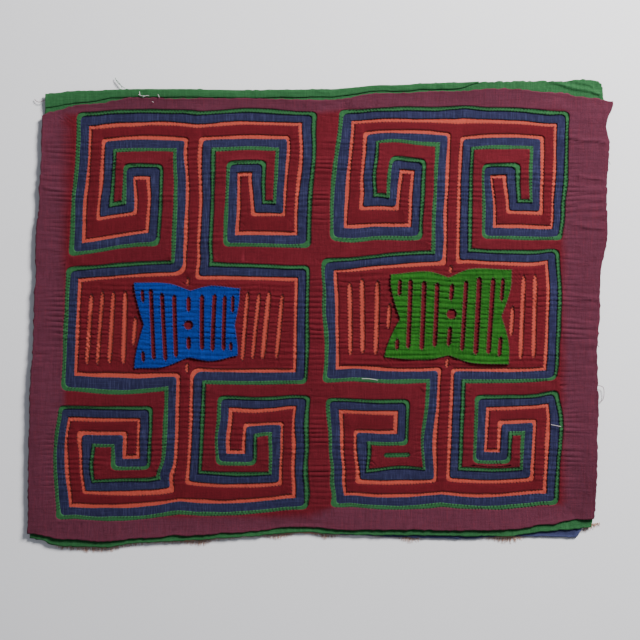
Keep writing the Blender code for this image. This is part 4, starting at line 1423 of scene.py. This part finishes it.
def orange_base():
    """The base cloth: fine where it shows between a figure and the navy cloth."""
    cloth = Cloth("orange_base", "orange")
    outline = shrunk("orange", cloth_outline("orange", EDGE_POINT, EDGE_POINT))
    raw_edge(cloth, outline, 0.8 * MM, 0.1 * MM, 400)
    for i, unit in enumerate(UNITS):
        line = CutLine(unit, ORANGE_MIDDLE)
        swayed = line.along / ORANGE_PITCH + drift(line.along, 15 * MM, 420 + i)
        rings = []
        for step in RINGS["orange"]:
            relief = 0.10 * MM * np.sin(math.tau * swayed)
            relief += 0.15 * MM * math.sin(math.pi * min(1, max(0, step / ORANGE_WIDE)))
            points = line.at(CUTS["figure"]["off"] + step * MM)
            rings.append(cloth.ring(points, relief, 0.0, rings[-1] if rings else None))
        cloth.open_edges += rings[0] + rings[-1]
    cloth.fill()
    piece = cloth.finish(cotton("orange_cotton", COTTONS["orange"], raw=FRAYED["orange"]))
    dress(piece, "orange_base_cloth", "orange")
    return piece


def figure(unit, seed):
    """A square spiral figure with its box and the slits in it."""
    cloth = Cloth(unit + "_spirals", "figure")
    sew_cut(cloth, unit, -1, *CROWNS["figure"], seed)
    for i, slit in enumerate(slits_of(unit, BOX_SLITS, SLIT_TIP)):
        sew_outline(cloth, slit, -facing(slit), "slit", seed + 30 + i)
    cloth.fill([(box_area(unit), (3.0 * MM, 0.9 * MM))])
    piece = cloth.finish(cotton(unit + "_figure_cotton", COTTONS["figure"]))
    dress(piece, unit + "_figure", "figure")
    return piece


def patch(unit, name, node, colours, seed):
    """The waisted patch on a figure's box."""
    cloth = Cloth(name, "patch")
    outline, *holes = patch_outlines(unit)
    sew_outline(cloth, outline, drawn_inwards(outline), "patch", seed)
    for i, hole in enumerate(holes):
        sew_outline(cloth, hole, -facing(hole), "slit", seed + 5 + i)
    low, high = outline.min(0), outline.max(0)
    cloth.fill([((low[0], high[0], low[1], high[1]), (1.8 * MM, 0.7 * MM))])
    piece = cloth.finish(cotton(name + "_cotton", colours))
    dress(piece, node, "patch")
    return piece


# Stitches: which node of the model each cloth's belong to, their colour and that of the painted shade
# in the hollows of their twist, and how far in from the cloth's edge their middles are, in
# millimetres. The stitches on the ground, green, navy and figure cloths are painted darker than their
# thread, and all are made larger than thread, as painted shade of the pinch at each stitch.
THREADS = {
    "maroon_ground": ("maroon_ground_cloth", (20, 16, 14), (9, 8, 7), -0.55),
    "green_layer": ("green_cloth", (9, 22, 14), (4, 12, 8), 0.30),
    "navy_layer": ("navy_cloth", (12, 10, 22), (7, 6, 13), 0.10),
    "left_spirals": ("left_figure", (70, 12, 16), (42, 8, 10), -0.25),
    "right_spirals": ("right_figure", (70, 12, 16), (42, 8, 10), -0.25),
    "blue_box_patch": ("blue_patch", (52, 30, 80), (24, 18, 52), 0.0),
    "green_box_patch": ("green_patch", (84, 56, 44), (44, 34, 24), 0.0),
}
# Larger than a real stitch, so that each also stands in as painted shade of its pinch.
STITCH_SIZE = (1.8 * MM, 0.8 * MM, 0.5 * MM)
STITCH_TILT = -0.42
STITCH_SUNK = {"outside": 0.05 * MM, "inside": -0.12 * MM}
AT_ONCE = 80


def a_few_at_a_time(name, items, add):
    """One mesh of many small parts, made in short lots, which is much quicker than all at once."""
    whole = bmesh.new()
    kept = bpy.data.meshes.new(name + "_few")
    for first in range(0, len(items), AT_ONCE):
        few = bmesh.new()
        for item in items[first : first + AT_ONCE]:
            add(few, item)
        few.to_mesh(kept)
        few.free()
        whole.from_mesh(kept)
    bpy.data.meshes.remove(kept)
    return whole


def stitches(cloth_name, layer, seed):
    """The small stitches over a cloth's sewn edges, joined as one mesh. They are part thread and part
    painted shade of the pinch at each stitch.
    """
    node, colour, dark, inwards = THREADS[cloth_name]
    rng = np.random.default_rng(seed)
    rows = STITCHES[cloth_name]
    edges = np.array([row[0] for row in rows])
    heights = bed(layer, edges[:, 0], edges[:, 1])

    def add(few, item):
        (outer, inner, relief), height = item
        way = inner - outer
        heading = math.atan2(way[1], way[0]) + rng.uniform(-0.22, 0.22)
        middle = outer - MIDDLE + way / np.linalg.norm(way) * inwards * MM
        sunk = STITCH_SUNK["outside" if inwards < 0 else "inside"]
        place = Matrix.Translation((*middle, height + relief * 0.6 - sunk))
        place = place @ Matrix.Rotation(heading, 4, "Z") @ Matrix.Rotation(STITCH_TILT, 4, "Y")
        size = np.array(STITCH_SIZE) * rng.uniform(0.85, 1.12)
        place = place @ Matrix.Diagonal((*size, 1))
        bmesh.ops.create_uvsphere(few, u_segments=4, v_segments=3, radius=0.5, matrix=place)

    whole = a_few_at_a_time(cloth_name, list(zip(rows, heights)), add)
    return loose_piece(cloth_name + "_stitches", whole, colour, dark)


# Frayed edges: which cloth's threads hang past which edge, between which places, how far apart,
# how long and how thick they are, in millimetres, and how high they lie over the table.
FRINGE_COLUMNS = ("cloth", "edge", "first", "last", "apart", "long", "thick", "over")
FRINGES = (
    ("orange", "bottom", -196.0, 196.0, 0.22, 4.2, 0.32, 0.3),
    ("navy", "bottom", -120.0, 184.0, 0.45, 2.6, 0.28, 0.9),
    ("maroon", "right", -120.0, 140.0, 1.1, 0.9, 0.26, 2.6),
)
# Where the orange cloth has frayed most: the middle of each tuft and its reach each way.
TUFTS = {
    "orange": (
        (-162.0, 24.0), (-84.0, 10.0), (-31.0, 8.0), (3.0, 6.0), (63.0, 8.0), (133.0, 12.0),
        (184.0, 7.0),
    ),
}

# How far in a loose thread begins, and how far it is laid over to hang down a little.
ROOTED = 0.6 * MM
THREAD_TILT = math.pi / 2 + 0.05


def fringe(row, seed):
    """Threads that have come loose along one edge of a cloth, joined as one mesh."""
    cloth = row["cloth"]
    rng = np.random.default_rng(seed)
    places = np.arange(row["first"], row["last"], row["apart"]) * MM
    places = places + rng.uniform(-0.3, 0.3, len(places)) * MM
    if row["edge"] == "bottom":
        roots = np.stack([places, bottom_edge(cloth, places) + LOOSE_ENDS[cloth]], 1)
        heading = -math.pi / 2
    else:
        roots = np.stack([read_at(SIDE_COLUMNS, SIDES, "y", places, "right"), places], 1)
        heading = 0.0
    bushy = 0.5 + 0.3 * drift(places + 1, 13 * MM, seed + 1)
    for middle, wide in TUFTS.get(cloth, ()):
        bushy += 0.8 * np.exp(-(((places - middle * MM) / (wide * MM)) ** 2))
    radius = row["thick"] * MM / 2

    def add(few, item):
        root, lush = item
        long = row["long"] * MM * lush * rng.uniform(0.45, 1.15)
        turn = heading + rng.normal(0, 0.42)
        out = 0.5 * long - ROOTED
        middle = root - MIDDLE + np.array([math.cos(turn), math.sin(turn)]) * out
        place = Matrix.Translation((*middle, row["over"] * MM + rng.uniform(0, 0.25) * MM))
        place = place @ Matrix.Rotation(turn, 4, "Z") @ Matrix.Rotation(THREAD_TILT, 4, "Y")
        bmesh.ops.create_cone(
            few, cap_ends=False, segments=3, radius1=radius, radius2=0.35 * radius,
            depth=long, matrix=place,
        )

    whole = a_few_at_a_time(cloth, list(zip(roots, bushy)), add)
    # The colour of the painted shade in the hollows of the threads' twist.
    dark = tuple(round(value * 0.8) for value in FRAYED[cloth])
    return loose_piece(cloth + "_fringe", whole, FRAYED[cloth], dark)


def loose_piece(name, made, colour, dark):
    """A mesh of loose threads as a finished piece, attached to the panel's body."""
    mesh = bpy.data.meshes.new(name)
    made.to_mesh(mesh)
    made.free()
    mesh.shade_smooth()
    mesh.materials.append(thread(name + "_thread", colour, dark))
    piece = bpy.data.objects.new(name, mesh)
    bpy.context.scene.collection.objects.link(piece)
    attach(piece, "root")
    return piece


# Loose threads and lint: colour, thickness, and points in millimetres from the drawing's zero,
# with the height over the table as the third.
LOOSE_THREADS = {
    "green_loop": {
        "node": "green_cloth", "colour": (60, 110, 84), "thick": 0.36,
        "paths": (
            ((-144.0, 165.0, 1.2), (-143.0, 162.0, 1.6), (-139.5, 159.0, 1.8), (-137.0, 157.5, 1.6)),
            ((-143.5, 163.5, 1.4), (-140.5, 161.5, 1.5), (-139.0, 157.5, 1.6)),
        ),
    },
    "pale_lint": {
        "node": "maroon_ground_cloth", "colour": (206, 196, 198), "thick": 0.36,
        "paths": (
            ((-127.0, 152.5, 4.1), (-124.5, 151.0, 4.2), (-122.5, 151.6, 4.1)),
            ((-124.0, 150.6, 4.0), (-121.0, 152.4, 4.2), (-119.6, 151.4, 4.0)),
            ((-113.5, 152.6, 4.0), (-112.4, 150.4, 4.1)),
            ((-117.6, 147.6, 4.0), (-116.4, 147.0, 4.0)),
            ((-126.6, 155.0, 2.8), (-126.0, 151.6, 4.0)),
            ((29.0, -46.0, 3.4), (34.0, -45.6, 3.5), (40.0, -47.0, 3.4)),
            ((161.0, -78.0, 3.4), (168.0, -79.4, 3.5)),
        ),
    },
    "dark_thread": {
        "node": "maroon_ground_cloth", "colour": (70, 66, 78), "thick": 0.34,
        "paths": (
            ((196.0, 107.0, 3.8), (199.0, 108.0, 3.4), (202.0, 106.5, 2.4), (203.0, 104.0, 1.4)),
            ((193.5, 70.0, 4.2), (198.0, 68.5, 4.0), (200.0, 66.5, 3.2), (198.6, 65.0, 3.0)),
        ),
    },
    "purple_thread": {
        "node": "maroon_ground_cloth", "colour": (120, 62, 84), "thick": 0.40,
        "paths": (
            ((193.0, -50.5, 3.0), (197.5, -51.0, 2.4), (198.8, -54.0, 1.6), (198.5, -61.0, 1.2),
             (195.0, -63.0, 1.4), (193.5, -61.5, 2.2)),
            ((190.0, -12.0, 3.0), (194.5, -16.0, 2.4), (192.5, -20.0, 2.4), (195.0, -24.0, 2.0)),
            ((-200.5, 150.0, 1.0), (-198.0, 146.0, 1.6), (-193.0, 149.0, 2.4)),
        ),
    },
}


def loose_threads(name, row):
    """Single threads and bits of lint that lie on the panel, joined as one mesh."""
    curve = bpy.data.curves.new(name, "CURVE")
    curve.dimensions = "3D"
    curve.bevel_depth = row["thick"] * MM / 2
    curve.bevel_resolution = 1
    curve.resolution_u = 4
    for path in row["paths"]:
        spline = curve.splines.new("NURBS")
        spline.points.add(len(path) - 1)
        for point, (x, y, z) in zip(spline.points, path):
            point.co = (x * MM - MIDDLE[0], y * MM - MIDDLE[1], z * MM, 1.0)
        spline.order_u = 3
        spline.use_endpoint_u = True
    guide = bpy.data.objects.new(name + "_path", curve)
    bpy.context.scene.collection.objects.link(guide)
    seen = guide.evaluated_get(bpy.context.evaluated_depsgraph_get())
    made = bmesh.new()
    made.from_mesh(seen.to_mesh())
    seen.to_mesh_clear()
    bpy.data.objects.remove(guide)
    # The colour of the painted shade in the hollows of the threads' twist.
    dark = tuple(round(value * 0.6) for value in row["colour"])
    return loose_piece(name, made, row["colour"], dark)


# The table, the lights and the camera.

TABLE_COLOUR = linear(216, 216, 219)


def table():
    """The table under the panel."""
    mesh = bmesh.new()
    bmesh.ops.create_grid(mesh, x_segments=2, y_segments=2, size=3.0)
    data = bpy.data.meshes.new("floor")
    mesh.to_mesh(data)
    mesh.free()
    data.materials.append(table_top())
    floor = bpy.data.objects.new("floor", data)
    bpy.context.scene.collection.objects.link(floor)
    return floor


def lamp(name, place, aim, size, power, colour):
    """A large soft light."""
    data = bpy.data.lights.new(name, "AREA")
    data.shape = "DISK"
    data.size = size
    data.energy = power
    data.color = colour
    light = bpy.data.objects.new(name, data)
    light.location = place
    light.rotation_euler = (Vector(aim) - Vector(place)).to_track_quat("-Z", "Y").to_euler()
    bpy.context.scene.collection.objects.link(light)


def lights():
    """Soft daylight from the upper right, and a pale room."""
    lamp("window_light", (0.72, 0.82, 0.70), (0, 0, 0), 0.40, 53.0, (1.0, 0.985, 0.965))
    world = bpy.data.worlds.new("pale_room")
    world.use_nodes = True
    world.node_tree.nodes["Background"].inputs["Color"].default_value = (0.86, 0.9, 1.0, 1.0)
    world.node_tree.nodes["Background"].inputs["Strength"].default_value = 0.31
    bpy.context.scene.world = world


def camera():
    """The camera, straight above the panel, with the photograph's frame."""
    data = bpy.data.cameras.new("camera")
    data.lens = LENS
    data.sensor_width = SENSOR
    eye = bpy.data.objects.new("camera", data)
    x = (PHOTO_MIDDLE[0] - DRAWING_ZERO[0]) * PIXEL - MIDDLE[0]
    y = (DRAWING_ZERO[1] - PHOTO_MIDDLE[1]) * PIXEL - MIDDLE[1]
    eye.location = (x, y, PHOTO_WIDE * PIXEL * LENS / SENSOR + SEWN["maroon"] * MM)
    bpy.context.scene.collection.objects.link(eye)
    bpy.context.scene.camera = eye


for item in list(bpy.data.objects):
    if item.type in ("CAMERA", "LIGHT"):
        bpy.data.objects.remove(item)
camera()
lights()
table()
maroon_ground()
green_layer()
navy_layer()
orange_base()
figure("left", 500)
figure("right", 600)
patch("left", "blue_box_patch", "blue_patch", COTTONS["blue"], 700)
patch("right", "green_box_patch", "green_patch", COTTONS["leaf"], 800)
LAYERS = ("maroon", "green", "navy", "figure", "figure", "patch", "patch")
for number, (cloth_name, layer) in enumerate(zip(THREADS, LAYERS)):
    stitches(cloth_name, layer, 900 + number)
for number, row in enumerate(rows_of(FRINGE_COLUMNS, FRINGES)):
    fringe(row, 1000 + 10 * number)
for name, row in LOOSE_THREADS.items():
    loose_threads(name, row)
